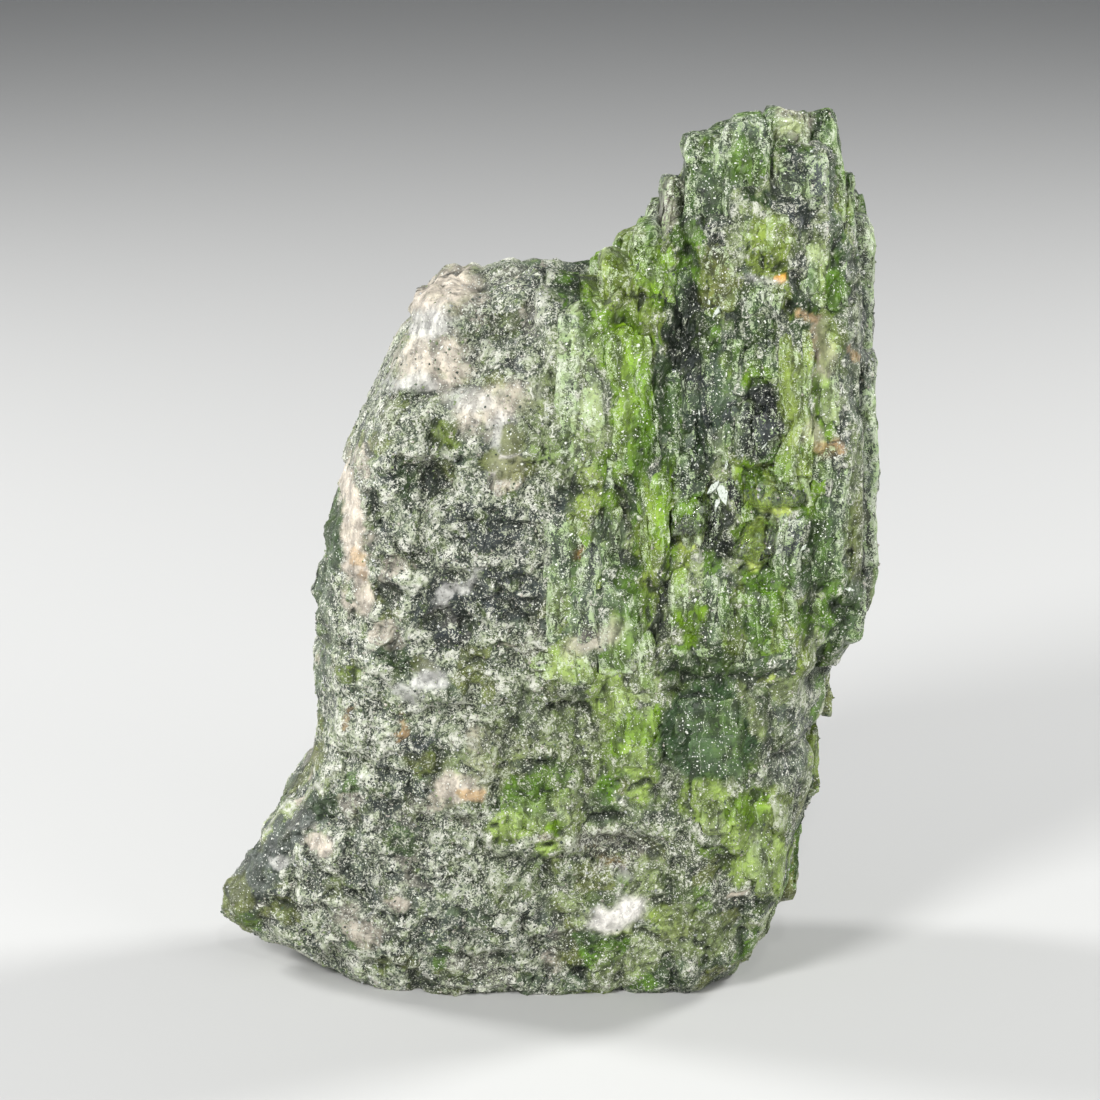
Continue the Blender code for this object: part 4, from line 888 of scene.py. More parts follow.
def columnSurface(number, row, detail=1.0):
    # the section carried up a leaning line and drawn in at both ends, then stepped, wobbled and chipped
    mineral, dust, left, right, foot, top, front, back, lean, footTaper, tipTaper = row
    profile, fromEdge = columnProfile((right - left) / 2, (back - front) / 2, detail < columns["plainBelow"])
    middleX, middleY, middleZ = (left + right) / 2, (front + back) / 2, (foot + top) / 2
    z, across, deep = columnRings((foot, footTaper), (top, tipTaper), detail)
    turn = columns["mostTurn"] * (right - left) / (back - front) * math.sin(columns["turnStep"] * number)
    slope = columns["mostTipSlope"] * math.sin(columns["slopeStep"] * number + 1)
    px, py = profile[:, 0][:, None] * across, profile[:, 1][:, None] * deep
    z = np.broadcast_to(z, px.shape)
    x = middleX + lean * (z - middleZ) + px - turn * profile[:, 1][:, None]
    y = middleY + py + turn * profile[:, 0][:, None]
    z = z + slope * px * (z > middleZ)
    reach = np.hypot(px, py) + 1e-6
    terrace, terraceWide, terraceTall = columns["terrace"]
    seed, levels = 200 + number, columns["terraceLevels"]
    steps = softNoise(x, y, z * terraceWide / terraceTall, terraceWide, seed)
    inward = terrace * np.floor(levels * steps + levels) / 3 * 0.5
    endFrom = np.minimum(np.abs(z - foot - footTaper), np.abs(z - top + tipTaper))
    edge = np.exp(-(np.minimum(fromEdge[:, None], endFrom) / columns["edgeWidth"]) ** 2)
    chips = smoothStep(drift((x, y, z), columns["chipNoise"], seed + 1)) * edge * columns["chip"]
    inward = np.minimum(inward + chips, 0.5 * reach)
    still = (x - inward * (px / reach), y - inward * (py / reach), z)
    x, y, z = still
    for layer in columns["wobble"]:
        x, y, z = moved((x, y, z), still, layer, seed + 10)
    for layer in columns["wander"]:
        x = x + drift((x, 0.4 * y, z), layer, 91)
        z = z + drift((x, 0.4 * y, z), layer, 92)
    points = np.stack([x, y, z], -1).reshape(-1, 3)
    count, up = px.shape
    faces = gridQuads(count, up, wrap=True).tolist()
    poles = []
    for ring, sign in ((0, 1), (up - 1, -1)):
        loop = np.arange(count) * up + ring
        pole = len(points) + len(poles)
        poles.append(points[loop].mean(axis=0))
        pairs = zip(np.roll(loop, -1).tolist(), loop.tolist())
        faces += [(a, pole, b) if sign < 0 else (b, pole, a) for a, b in pairs]
    return {
        "points": np.concatenate([points, poles]), "faces": faces, "mineral": mineral, "dust": dust,
        "edge": np.append(edge.reshape(-1), [0.3, 0.3]),
    }


def joined(parts):
    # several surfaces as one: points one after another, and face numbers moved along
    points, faces, start = [], [], 0
    for part in parts:
        points.append(part["points"])
        faces += [tuple(k + start for k in face) for face in part["faces"]]
        start += len(part["points"])
    return np.concatenate(points), faces


def columnGroup(parts, side=None):
    # the columns of one piece with their minerals, and the patches of that side painted over them
    points, faces = joined(parts)
    counts = [len(part["points"]) for part in parts]
    tint = np.repeat([minerals[part["mineral"]] for part in parts], counts, axis=0)
    dust = np.repeat([part["dust"] for part in parts], counts) + columns["extraDust"]
    edge = np.concatenate([part["edge"] for part in parts])
    amount, size, drawnOut = columns["cloud"]
    x, y, z = points.T
    cloud = softNoise(x, y, z * drawnOut, size, 71)
    tint = tint * (1 + amount * cloud[:, None])
    layMinerals(points.T, tint, dust, "crystal", columns["mixing"] * smoothStep(0.5 + 1.5 * cloud))
    if side:
        paint(points.T, tint, dust, side, columns["painted"])
    edge = edge * (columns["lowerEdges"] + (1 - columns["lowerEdges"]) * uprightShare(z))
    return {"points": points, "faces": faces, "tint": tint, "dust": dust, "relief": edge}


clearRows = {"front": (26, 28, 29), "back": (5,)}  # columns that are left to the clear piece

bed = {
    "below": 0.50, "slope": 1.15, "reach": 1.7, "mostRise": 2.2,  # rock banked up against the columns
    "clearBelow": 1.7, "clearLip": 0.30, "clearSlope": 3.0, "clearRagged": 1.2, "clearLeaves": 0.5,  # hollows
    "ragged": (0.30, 1.1), "seeds": {"front": 97, "back": 98},
    # deep cracks and slots: x, z, half width, half height, height
    "frontCracks": [
        (8.7, 34, 0.9, 4.6, 0.9), (3.6, 50.6, 0.8, 3, -1), (12.3, 66.4, 0.5, 2, -1.4),
        (10.3, 66.8, 0.4, 2, -1), (12.6, 28.6, 5.4, 1.7, 1.5), (16.8, 12.6, 0.6, 3.4, -1),
        (1.8, 26.2, 3.2, 2.4, 0.9), (-9.3, 44.4, 1.1, 2.2, -0.4), (-13, 35, 1.6, 1.8, -0.3),
        (13.9, 41, 0.9, 2.6, -0.5), (20.6, 45, 0.4, 4, -0.8), (-14, 42.6, 0.9, 1.4, -0.5),
        (2.4, 2.2, 1.2, 0.8, -0.8),
    ],
    "backCracks": [
        (2.6, 44, 0.8, 7, -1.6), (12.8, 40, 0.7, 8, -1.8), (19.8, 56, 0.6, 6, -1.4), (-8.6, 36, 0.8, 4, -1.2),
        (10, 18, 3, 1, -1.2),
    ],
}


def outsideOval(x, z, row):
    # roughly the distance from the ellipse that fits a column's face, less than 0 inside it
    left, right, foot, top, lean = (row[k] for k in (2, 3, 4, 5, 8))
    halfX, halfZ = (right - left) / 2, (top - foot) / 2
    over, high = x - (left + right) / 2 - lean * (z - (foot + top) / 2), z - (foot + top) / 2
    return (np.hypot(over / halfX, high / halfZ) - 1) * min(halfX, halfZ)


def bedded(x, z, depth, side):
    # rock banked up against the sides of each column, and hollowed under each clear one
    ragged = drift((x, np.zeros_like(x), z), bed["ragged"], bed["seeds"][side])
    for number, row in enumerate(columns[side]):
        left, right, foot, top, front, back, lean = row[2:9]
        reach = -front if side == "front" else back
        middleX, middleZ = (left + right) / 2, (foot + top) / 2
        if number in clearRows[side]:
            inward = outsideOval(x, z, row) + bed["clearLip"] + bed["clearRagged"] * ragged
            hollow = reach - bed["clearBelow"] + bed["clearSlope"] * np.maximum(inward, 0)
            depth = np.minimum(depth, np.maximum(hollow, bed["clearLeaves"] * depth))
            continue
        over = np.abs(x - middleX - lean * (z - middleZ)) - (right - left) / 2
        high = np.abs(z - middleZ) - (top - foot) / 2
        outside = np.hypot(np.maximum(over, 0), np.maximum(high, 0)) + np.minimum(np.maximum(over, high), 0)
        bank = reach - bed["below"] - bed["slope"] * np.maximum(outside, 0) + ragged
        raised = np.maximum(depth, np.minimum(bank, depth + bed["mostRise"]))
        depth = np.where((outside < bed["reach"]) & (depth > 0.4), raised, depth)
    return depth


sheets = {side: rockSheet(side) for side in towards}
last = {side: len(sheets[side]["dust"]) - 1 for side in towards}
forms = {
    "frontRockLeft": closedPart(sheets["front"], 0, last["front"] // 2, "front"),
    "frontRockRight": closedPart(sheets["front"], last["front"] // 2, last["front"], "front"),
    "backRock": closedPart(sheets["back"], 0, last["back"], "back"),
}
print("rock faces worked out")


# each column carries a few strands on its face, so that it splits the way the real ones do

strands = {
    "wide": 1.9, "recess": 0.16, "seed": 31, "detail": 0.62, "uneven": 0.35, "otherMineral": 0.38,
    "proud": 0.24, "deep": 3.2, "lap": 0.08, "dustier": 0.12, "leanMore": 0.03,
    "kin": {
        "lime": ("yellowGreen", "apple"), "apple": ("deep", "lime"), "deep": ("apple", "slate"),
        "yellowGreen": ("lime", "paleGreen"), "paleGreen": ("yellowGreen", "greyGreen"),
        "greyGreen": ("apple", "slate"), "slate": ("greyGreen", "deep"), "olive": ("yellowGreen", "apple"),
        "blueBlack": ("deep", "slate"), "black": ("blueBlack", "deep"), "cleavage": ("cleavage", "deep"),
        "dustyTaupe": ("slate", "greyGreen"), "milky": ("milky", "paleGreen"),
    },
}


def randomFor(look, side):
    # the back draws from the next seed
    return np.random.default_rng(look["seed"] + (side == "back"))


def strandRows(side):
    # the column's width cut at uneven places, and each strand's ends and face set a little in or out
    random, lap, deep, uneven = randomFor(strands, side), strands["lap"], strands["deep"], strands["uneven"]
    rows = []
    for number, row in enumerate(columns[side]):
        mineral, dust, left, right, foot, top, front, back, lean, footTaper, tipTaper = row
        count = max(2, round((right - left) / strands["wide"]))
        cuts = np.linspace(left, right, count + 1)
        cuts[1:-1] += random.uniform(-uneven, uneven, count - 1) * strands["wide"]
        shifts = random.uniform(-1, 1, (count, 6))
        picks = random.random((count, 2))
        if number in clearRows[side] or mineral == "cleavage":
            continue
        for i in range(count):
            other = strands["kin"][mineral][int(picks[i, 1] > 0.5)]
            proud = strands["proud"] * shifts[i, 2]
            ends = (front + 0.05 + proud, front + deep)
            if side == "back":
                ends = (back - deep, back - 0.05 + proud)
            rows.append((
                other if picks[i, 0] < strands["otherMineral"] else mineral,
                min(0.9, max(0.1, dust + strands["dustier"] * shifts[i, 3])),
                cuts[i] - lap, cuts[i + 1] + lap,
                foot + 0.5 + 1.0 * shifts[i, 0], top - 0.5 + 0.4 * shifts[i, 1],
                *ends, lean + strands["leanMore"] * shifts[i, 4],
                footTaper * (0.8 + 0.3 * shifts[i, 5]), tipTaper,
            ))
    return rows


def recessed(row, side):
    # the same column, its face set back behind its strands
    back = strands["recess"]
    return row[:6] + ((row[6] + back, row[7]) if side == "front" else (row[6], row[7] - back)) + row[8:]


def columnSurfaces(side, offset):
    # the surfaces of the frosted columns and their strands, and those of the clear columns
    surfaces, clear = [], []
    for number, row in enumerate(columns[side]):
        if number in clearRows[side]:
            clear.append(columnSurface(offset + number, row))
        else:
            plain = row if row[0] == "cleavage" else recessed(row, side)
            surfaces.append(columnSurface(offset + number, plain, 0.8))
    for number, row in enumerate(strandRows(side)):
        surfaces.append(columnSurface(offset + 600 + number, row, strands["detail"]))
    return surfaces, clear


frontColumns, frontClear = columnSurfaces("front", 0)
backColumns, backClear = columnSurfaces("back", len(columns["front"]))
halfWay = 44.0  # the front columns are two pieces, above and below this height
upper = [c for c in frontColumns if c["points"][:, 2].mean() > halfWay]
lower = [c for c in frontColumns if c["points"][:, 2].mean() <= halfWay]
forms["upperColumns"] = columnGroup(upper, "front")
forms["lowerColumns"] = columnGroup(lower, "front")
forms["backColumns"] = columnGroup(backColumns, "back")
forms["clearColumns"] = columnGroup(frontClear + backClear)
print("columns worked out")


# small splinters of crystal, half sunk in the green part

splinters = {
    "count": {"front": 100, "back": 50}, "seed": 5,
    "wide": (0.9, 2.2), "tall": (2.0, 6.5), "proud": (0.05, 0.45),
    "across": (0.44, 0.91), "up": (0.47, 0.90),  # where they lie, in shares of the outline
    "detail": 0.45, "dust": 0.45, "deep": 2.6, "mostLean": 0.10,
    "mix": ("greyGreen", "apple", "deep", "lime", "paleGreen", "yellowGreen", "slate"),
}


def splinterRows(side):
    # rows like those of the columns, each about the rock's own depth at its middle
    random, count = randomFor(splinters, side), splinters["count"][side]
    u, v = random.uniform(*splinters["across"], count), random.uniform(*splinters["up"], count)
    x, z = outlinePatch(u, v)
    depth = faceDepth(x, z, rimRound(u, v), side)
    wide, tall, proud = (random.uniform(*splinters[key], count) for key in ("wide", "tall", "proud"))
    pick = random.integers(0, len(splinters["mix"]), count)
    lean = random.uniform(-splinters["mostLean"], splinters["mostLean"], count)
    rows = []
    for i in range(count):
        reach = depth[i] + proud[i]
        ends = (-reach, -reach + splinters["deep"]) if side == "front" else (reach - splinters["deep"], reach)
        rows.append((
            splinters["mix"][pick[i]], splinters["dust"], x[i] - wide[i] / 2, x[i] + wide[i] / 2,
            z[i] - tall[i] / 2, z[i] + tall[i] / 2, *ends, lean[i], 0.4 * wide[i], 0.5 * wide[i],
        ))
    return rows


for side in towards:
    surfaces = [columnSurface(300 + i, row, splinters["detail"]) for i, row in enumerate(splinterRows(side))]
    forms[side + "Splinters"] = columnGroup(surfaces, side)
print("splinters worked out")


# flat cleavage faces that catch the key light, each a thin plate set on the surface in front of it

glints = {
    "facing": (-0.23, -0.877, 0.423), "thick": 0.30, "proud": 0.06, "seed": 17,
    # x, z, half width, half height, turn in degrees
    "rows": [
        (13.2, 58.2, 0.22, 0.75, -25), (12.5, 58.9, 0.12, 0.26, 10), (13.7, 43.7, 0.5, 1.35, 22),
        (13, 44.2, 0.36, 0.95, -38), (13.3, 42.9, 0.24, 0.8, -8), (14, 46, 0.12, 0.46, 0),
        (24, 35.6, 0.5, 0.16, -10), (16.6, 39.9, 0.11, 0.52, -30), (20.2, 39.3, 0.16, 0.4, -40),
        (20.5, 70.6, 0.2, 0.1, 35), (16.7, 60.9, 0.12, 0.2, 0), (19.2, 44.6, 0.18, 0.08, 30),
        (9.6, 31, 0.24, 0.08, 40), (-6, 33.4, 0.14, 0.08, 0), (11.8, 50.2, 0.08, 0.3, 10),
        (16.9, 47.6, 0.07, 0.44, -35),
    ],
    "corners": 8, "uneven": 0.3, "reach": (0.65, 1.1), "pointed": 0.8, "near": 0.5,
}


def plainForm(points, faces, tint):
    # a form with neither dust nor relief
    none = np.zeros(len(points))
    return {"points": points, "faces": faces, "tint": tint, "dust": none, "relief": none}


def glintSurface(surfaces):
    # each plate: uneven corners about its middle, carried back along the way that it faces
    random, corners, uneven = np.random.default_rng(glints["seed"]), glints["corners"], glints["uneven"]
    cloud = np.concatenate([surface["points"] for surface in surfaces])
    facing = np.array(glints["facing"]) / np.linalg.norm(glints["facing"])
    side = np.cross((0, 0, 1), facing) / np.linalg.norm(np.cross((0, 0, 1), facing))
    upward = np.cross(facing, side)
    points, faces = [], []
    for x, z, halfWide, halfTall, turn in glints["rows"]:
        near = cloud[np.hypot(cloud[:, 0] - x, cloud[:, 2] - z) < glints["near"]]
        middle = np.array([x, near[:, 1].min() - glints["proud"], z])
        angle = (np.arange(corners) + random.uniform(-uneven, uneven, corners)) * np.pi / 4
        reach = random.uniform(*glints["reach"], corners)
        flatX = halfWide * reach * np.cos(angle) * np.abs(np.cos(angle)) ** glints["pointed"]
        flatZ = halfTall * reach * np.sin(angle) * np.abs(np.sin(angle)) ** glints["pointed"]
        over, high = turned(flatX, flatZ, turn)
        rim = middle + over[:, None] * side + high[:, None] * upward
        start = 2 * corners * len(points)
        points.append(np.concatenate([rim, rim - glints["thick"] * facing]))
        front = [start + k for k in range(corners)]
        faces += [front, [k + corners for k in reversed(front)]]
        for k in range(corners):
            following = start + (k + 1) % corners
            faces.append([following, start + k, start + corners + k, following + corners])
    points = np.concatenate(points)
    return plainForm(points, faces, np.tile(np.array(minerals["paleGreen"]), (len(points), 1)))


dressed = ("frontRockLeft", "frontRockRight", "upperColumns", "lowerColumns")
forms["cleavageGlints"] = glintSurface([forms[key] for key in dressed])


# loose-looking mineral grains stuck all over

grit = {
    "seed": 9, "size": (0.06, 0.15), "stretch": (0.6, 1.4), "lightness": (0.45, 1.0),
    "onPiece": {
        "frontRockLeft": 3000, "frontRockRight": 1600, "backRock": 1800, "upperColumns": 1300,
        "lowerColumns": 1100, "backColumns": 700, "frontSplinters": 700, "clearColumns": 500,
    },
    "leastDust": 0.10, "favour": 1.3, "rim": 1.5,  # how dusty places are favoured; none this near the rim
    "mix": [("white", 0.16), ("cream", 0.16), ("paleGreen", 0.26), ("greyGreen", 0.20), ("darkMatrix", 0.22)],
}


def gritSurface(centres, random):
    # an eight-faced grain turned and stretched at each place
    count = len(centres)
    corner = np.array([(1, 0, 0), (-1, 0, 0), (0, 1, 0), (0, -1, 0), (0, 0, 1), (0, 0, -1)], float)
    face = np.array([(0, 2, 4), (2, 1, 4), (1, 3, 4), (3, 0, 4), (2, 0, 5), (1, 2, 5), (3, 1, 5), (0, 3, 5)])
    axis = random.normal(size=(count, 4))
    w, i, j, k = (axis / np.linalg.norm(axis, axis=1, keepdims=True)).T
    turn = np.stack([
        1 - 2 * (j * j + k * k), 2 * (i * j - k * w), 2 * (i * k + j * w),
        2 * (i * j + k * w), 1 - 2 * (i * i + k * k), 2 * (j * k - i * w),
        2 * (i * k - j * w), 2 * (j * k + i * w), 1 - 2 * (i * i + j * j),
    ], -1).reshape(count, 3, 3)
    size = random.uniform(*grit["size"], (count, 1, 1)) * random.uniform(*grit["stretch"], (count, 1, 3))
    points = np.einsum("nab,ncb->nca", turn, corner[None] * size) + centres[:, None, :]
    faces = (face[None] + len(corner) * np.arange(count)[:, None, None]).reshape(-1, 3)
    names, shares = zip(*grit["mix"])
    pick = random.choice(len(names), count, p=np.array(shares) / sum(shares))
    colour = np.array([minerals[n] for n in names])[pick] * random.uniform(*grit["lightness"], (count, 1))
    return plainForm(points.reshape(-1, 3), faces.tolist(), np.repeat(colour, len(corner), axis=0))


random = np.random.default_rng(grit["seed"])
centres = []
for key, count in grit["onPiece"].items():
    points = forms[key]["points"]
    weight = np.clip(forms[key]["dust"] - grit["leastDust"], 0.02, 1) ** grit["favour"]
    weight = weight * (np.abs(points[:, 1]) > grit["rim"])
    centres.append(points[random.choice(len(weight), count, p=weight / weight.sum())])
forms["mineralGrit"] = gritSurface(np.concatenate(centres), random)
print("grit worked out")


# everything into place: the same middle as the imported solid, and nothing under the foot

solid = {"left": -27.879, "front": -14.374}  # where the solid's own sides are on this drawing
shift = np.array([cadLow.x / mm - solid["left"], cadLow.y / mm - solid["front"], 0.0])
foot = {"middleX": -1.0, "halfX": 17.0, "halfY": 9.0, "tuck": 1.5, "run": 0.7}


def onFoot(points):
    # what reaches below the foot is drawn in under it and laid flat, so that it has no flat brim
    x, y, z = points.T
    overX, overY = (x - foot["middleX"]) / foot["halfX"] ** 2, y / foot["halfY"] ** 2
    inward = foot["tuck"] * smoothStep(-z / foot["run"]) / (np.hypot(overX, overY) + 1e-6)
    return np.stack([x - inward * overX, y - inward * overY, np.maximum(z, 0)], -1)


pieces = {key: pieceFrom(key, (onFoot(data["points"]) + shift) * mm, data) for key, data in forms.items()}
print("pieces made:", {key: len(piece.data.polygons) for key, piece in pieces.items()})


# materials

class Wire:
    # an output socket that can stand in a sum: each operator adds one Math node
    def __init__(self, sheet, socket):
        self.sheet = sheet
        self.socket = socket

    def maths(self, operation, *values):
        return self.sheet.add("ShaderNodeMath", {"operation": operation}, dict(enumerate(values)))

    def __add__(self, other):
        return self.maths("ADD", self, other)

    def __radd__(self, other):
        return self.maths("ADD", other, self)

    def __sub__(self, other):
        return self.maths("SUBTRACT", self, other)

    def __rsub__(self, other):
        return self.maths("SUBTRACT", other, self)

    def __mul__(self, other):
        return self.maths("MULTIPLY", self, other)

    def __rmul__(self, other):
        return self.maths("MULTIPLY", other, self)

    def __gt__(self, other):
        return self.maths("GREATER_THAN", self, other)

    def __abs__(self):
        return self.maths("ABSOLUTE", self)

    def rises(self, low, high):
        # 0 below low, 1 above high, smooth between
        values = {"Value": self, "From Min": low, "From Max": high}
        return self.sheet.add("ShaderNodeMapRange", {"interpolation_type": "SMOOTHSTEP"}, values)


class Sheet:
    # one material's nodes
    def __init__(self, name):
        self.material = bpy.data.materials.new(name)
        self.material.use_nodes = True
        self.tree = self.material.node_tree
        self.shader = self.tree.nodes["Principled BSDF"]
        self.output = self.tree.nodes["Material Output"]

    def add(self, kind, settings=None, values=None, output=0):
        # a node of this kind: its settings first, then a number, colour or link for each socket
        node = self.tree.nodes.new(kind)
        for key, setting in (settings or {}).items():
            setattr(node, key, setting)
        for key, value in (values or {}).items():
            self.feed(node.inputs[key], value)
        return Wire(self, node.outputs[output])

    def feed(self, socket, value):
        if isinstance(value, Wire):
            self.tree.links.new(value.socket, socket)
        elif isinstance(value, (tuple, list)) and len(socket.default_value) == 4 and len(value) == 3:
            socket.default_value = (*value, 1)
        else:
            socket.default_value = value

    def surface(self, values):
        # what the material itself is given
        for key, value in values.items():
            self.feed(self.shader.inputs[key], value)
        return self.material

    def place(self):
        # object coordinates, from metres to millimetres
        return self.vector("SCALE", self.add("ShaderNodeTexCoord", output=3), scale=1 / mm)

    def drawnOut(self, place, share):
        # the same place with z made less, so that what is read there stands upright
        return self.vector("MULTIPLY", place, (1.0, 1.0, share))

    def mix(self, share, first, second):
        return self.add("ShaderNodeMix", {"data_type": "RGBA"}, {0: share, 6: first, 7: second}, 2)

    def vector(self, operation, first, second=None, scale=None):
        values = {0: first, 1: second, "Scale": scale}
        values = {key: value for key, value in values.items() if value is not None}
        return self.add("ShaderNodeVectorMath", {"operation": operation}, values)

    def attribute(self, name, output):
        return self.add("ShaderNodeAttribute", {"attribute_name": name}, {}, output)

    def cells(self, place, scale, output):
        return self.add("ShaderNodeTexVoronoi", {}, {"Vector": place, "Scale": scale}, output)

    def noise(self, place, layer, output=0):
        # layer: cells to the millimetre, detail and roughness
        values = dict(zip(("Scale", "Detail", "Roughness"), layer))
        return self.add("ShaderNodeTexNoise", {}, {"Vector": place, **values}, output)

    def bump(self, strength, distance, height, more=None):
        values = {"Strength": strength, "Distance": distance, "Height": height, **(more or {})}
        return self.add("ShaderNodeBump", {}, values)

    def part(self, colour, index):
        return self.add("ShaderNodeSeparateColor", {}, {0: colour}, index)


grainedLook = {
    # noises: cells to the millimetre, detail and roughness
    "wander": (1.0, 2.0, 0.5), "cloud": (0.62, 3.0, 0.66), "coarse": (2.9, 5.0, 0.72),
    "fine": (6.6, 3.0, 0.74), "depths": (0.95, 3.0, 0.62), "blotch": (0.75, 2.0, 0.55),
    "pores": (3.1, 2.0, 0.72), "split": (0.75, 1.0, 0.5), "frostSpots": (1.3, 1.0, 0.6),
    "dotClouds": (0.9, 1.0, 0.5),
    "wanderBy": 0.8,  # millimetres
    "streak": 0.60, "veinStreak": 0.14,  # the upright stretch
    "inner": (0.55, 0.75), "warm": 1.03, "cool": 0.95,  # darkest and added brightness, its red and blue
    "greener": (0.15, 0.22, 0.045), "greenerMost": 0.55, "darker": (0.022, 0.030, 0.032), "darkerMost": 0.75,
    # the pore colour also paints shade in the hollows, and hollow says how strong that painted shade is
    "poreAndHollowShade": (0.020, 0.026, 0.019), "poreMost": 0.80, "hollow": 0.80,
    "frostPale": (0.70, 0.70, 0.61), "frostGreen": (0.43, 0.47, 0.33), "frostTint": 0.10, "frostMost": 0.94,
    "frostLow": 0.640, "frostHigh": 0.452,  # lace level where frost starts, with no dust and with full dust
    "coarseShare": 0.44,  # of the lace
    "ridge": 0.55, "ridgeFrost": 0.55, "vein": 0.0,
    "dot": (0.83, 0.85, 0.77), "dotMost": 0.88,
    "dotSizes": ((0.34, 1.0), (0.20, 1.2)), "dotShare": 0.32,  # millimetres between dots, how many show
    "roughDull": 0.80, "roughGlassy": 0.28, "facetSize": 0.50, "facetTilt": 0.50,
    "ior": 1.45, "bump": 0.55, "bumpDepth": 0.00014,
}
columnLook = dict(
    grainedLook, streak=0.40, dotShare=0.36, inner=(0.30, 1.25), ridge=0.75, hollow=0.5, frostTint=0.32,
    coarse=(3.2, 5.0, 0.72), fine=(7.6, 3.0, 0.74), frostPale=(0.72, 0.78, 0.60),
    frostGreen=(0.46, 0.60, 0.30), vein=0.55, roughDull=0.62, roughGlassy=0.18,
    facetSize=0.9, facetTilt=0.40, bump=0.40,
)
middleGrey = (0.5, 0.5, 0.5)


def grainedMaterial(name, look):
    sheet = Sheet(name)
    place = sheet.place()
    wander = sheet.vector("SUBTRACT", sheet.noise(place, look["wander"], 1), middleGrey)
    place = sheet.vector("ADD", place, sheet.vector("SCALE", wander, scale=look["wanderBy"]))
    upright = sheet.drawnOut(place, look["streak"])
    tint, dust, relief = sheet.attribute("tint", 0), sheet.attribute("dust", 2), sheet.attribute("relief", 2)

    cloud = sheet.noise(place, look["cloud"])  # where the frost lies thick
    coarse, fine = sheet.noise(upright, look["coarse"]), sheet.noise(place, look["fine"])
    lace = look["coarseShare"] * coarse + (1 - look["coarseShare"]) * fine
    depths = sheet.noise(upright, look["depths"])  # light and dark of the mineral itself
    shade = look["inner"][0] + look["inner"][1] * depths.rises(0.33, 0.68)
    blotch = sheet.noise(place, look["blotch"], 1)
    greener = sheet.part(blotch, 0).rises(0.53, 0.66) * dust * look["greenerMost"]
    darker = sheet.part(blotch, 1).rises(0.54, 0.66) * dust * look["darkerMost"]
    tint = sheet.mix(darker, sheet.mix(greener, tint, look["greener"]), look["darker"])
    shades = {0: shade * look["warm"], 1: shade, 2: shade * look["cool"]}
    colour = sheet.vector("MULTIPLY", tint, sheet.add("ShaderNodeCombineXYZ", {}, shades))

    pores = (0.60 - sheet.noise(place, look["pores"])).rises(0.15, 0.24) * (0.25 + 0.75 * dust)
    colour = sheet.mix(pores * look["poreMost"], colour, look["poreAndHollowShade"])
    # painted shade: points lower than the mean round them are darkened towards the pore colour, as shade in
    # the hollows
    colour = sheet.mix((0 - relief).rises(0.10, 0.85) * look["hollow"], colour, look["poreAndHollowShade"])

    # frost where the lace is above a level, which dust and ridges bring down
    raised = look["ridge"] * relief.rises(0.0, 0.9)
    lying = dust * (0.72 + 0.9 * (cloud - 0.42)) + raised * look["ridgeFrost"]
    start = look["frostLow"] + (look["frostHigh"] - look["frostLow"]) * lying
    frost = (lace - start).rises(0.0, 0.035)
    if look["vein"]:
        # thin upright lines where a stretched noise crosses its middle value, broken up by the lace
        split = sheet.noise(sheet.drawnOut(place, look["veinStreak"]), look["split"])
        line = (0.5 - abs(split - 0.5)).rises(0.484, 0.497) * lace.rises(0.40, 0.52)
        frost = frost + (1 - frost) * line * look["vein"] * cloud.rises(0.36, 0.52)
    spots = sheet.noise(place, look["frostSpots"]).rises(0.36, 0.64)
    frostColour = sheet.mix(look["frostTint"], sheet.mix(spots, look["frostPale"], look["frostGreen"]), tint)
    colour = sheet.mix(frost * look["frostMost"], colour, frostColour)

    # round dots near some of the cells' middles, more of them in some places
    share = look["dotShare"] * (0.25 + 1.5 * sheet.noise(place, look["dotClouds"]).rises(0.36, 0.62))
    dots = 0
    for size, amount in look["dotSizes"]:
        near, picked = sheet.cells(place, 1 / size, 0), sheet.cells(place, 1 / size, 1)
        spot = (0.16 + 0.14 * sheet.part(picked, 1) - near).rises(0.0, 0.08)
        dots = dots + spot * (share * amount > sheet.part(picked, 0))
    colour = sheet.mix(dots.rises(0.0, 1.0) * look["dotMost"], colour, look["dot"])

    # each cell of the surface faces its own way
    facets = sheet.vector("SUBTRACT", sheet.cells(upright, 1 / look["facetSize"], 1), middleGrey)
    tilted = sheet.vector("SCALE", facets, scale=look["facetTilt"])
    normal = sheet.add("ShaderNodeNewGeometry", output=1)
    faceted = sheet.vector("NORMALIZE", sheet.vector("ADD", normal, tilted))
    height = lace * 1.6 + 0.5 * frost + 0.6 * dots
    bumped = sheet.bump(look["bump"], look["bumpDepth"], height, {"Normal": faceted})

    rough = look["roughGlassy"] + (look["roughDull"] - look["roughGlassy"]) * (0.45 * dust + 0.55 * frost)
    return sheet.surface({"Base Color": colour, "Roughness": rough, "Normal": bumped, "IOR": look["ior"]})


clearLook = {
    "colour": (0.94, 1.0, 0.80), "roughness": (0.05, 0.38), "ior": 1.68, "bump": 0.6, "bumpDepth": 0.00014,
    "absorb": (0.56, 0.80, 0.06), "density": 130.0,
    "streak": 0.3, "streaks": (1.8, 4.0, 0.6), "fine": (5.0, 3.0, 0.6),
    # the broken skin of frost: two colours, its noises, level, roughness and strength
    "skinPale": (0.62, 0.70, 0.48), "skinGreen": (0.18, 0.34, 0.03), "skinCoarse": (3.4, 4.0, 0.72),
    "skinFine": (7.2, 3.0, 0.74), "skinSpots": (1.6, 2.0, 0.6),
    "skinStart": 0.565, "skinRough": 0.5, "skinMost": 0.92,
}


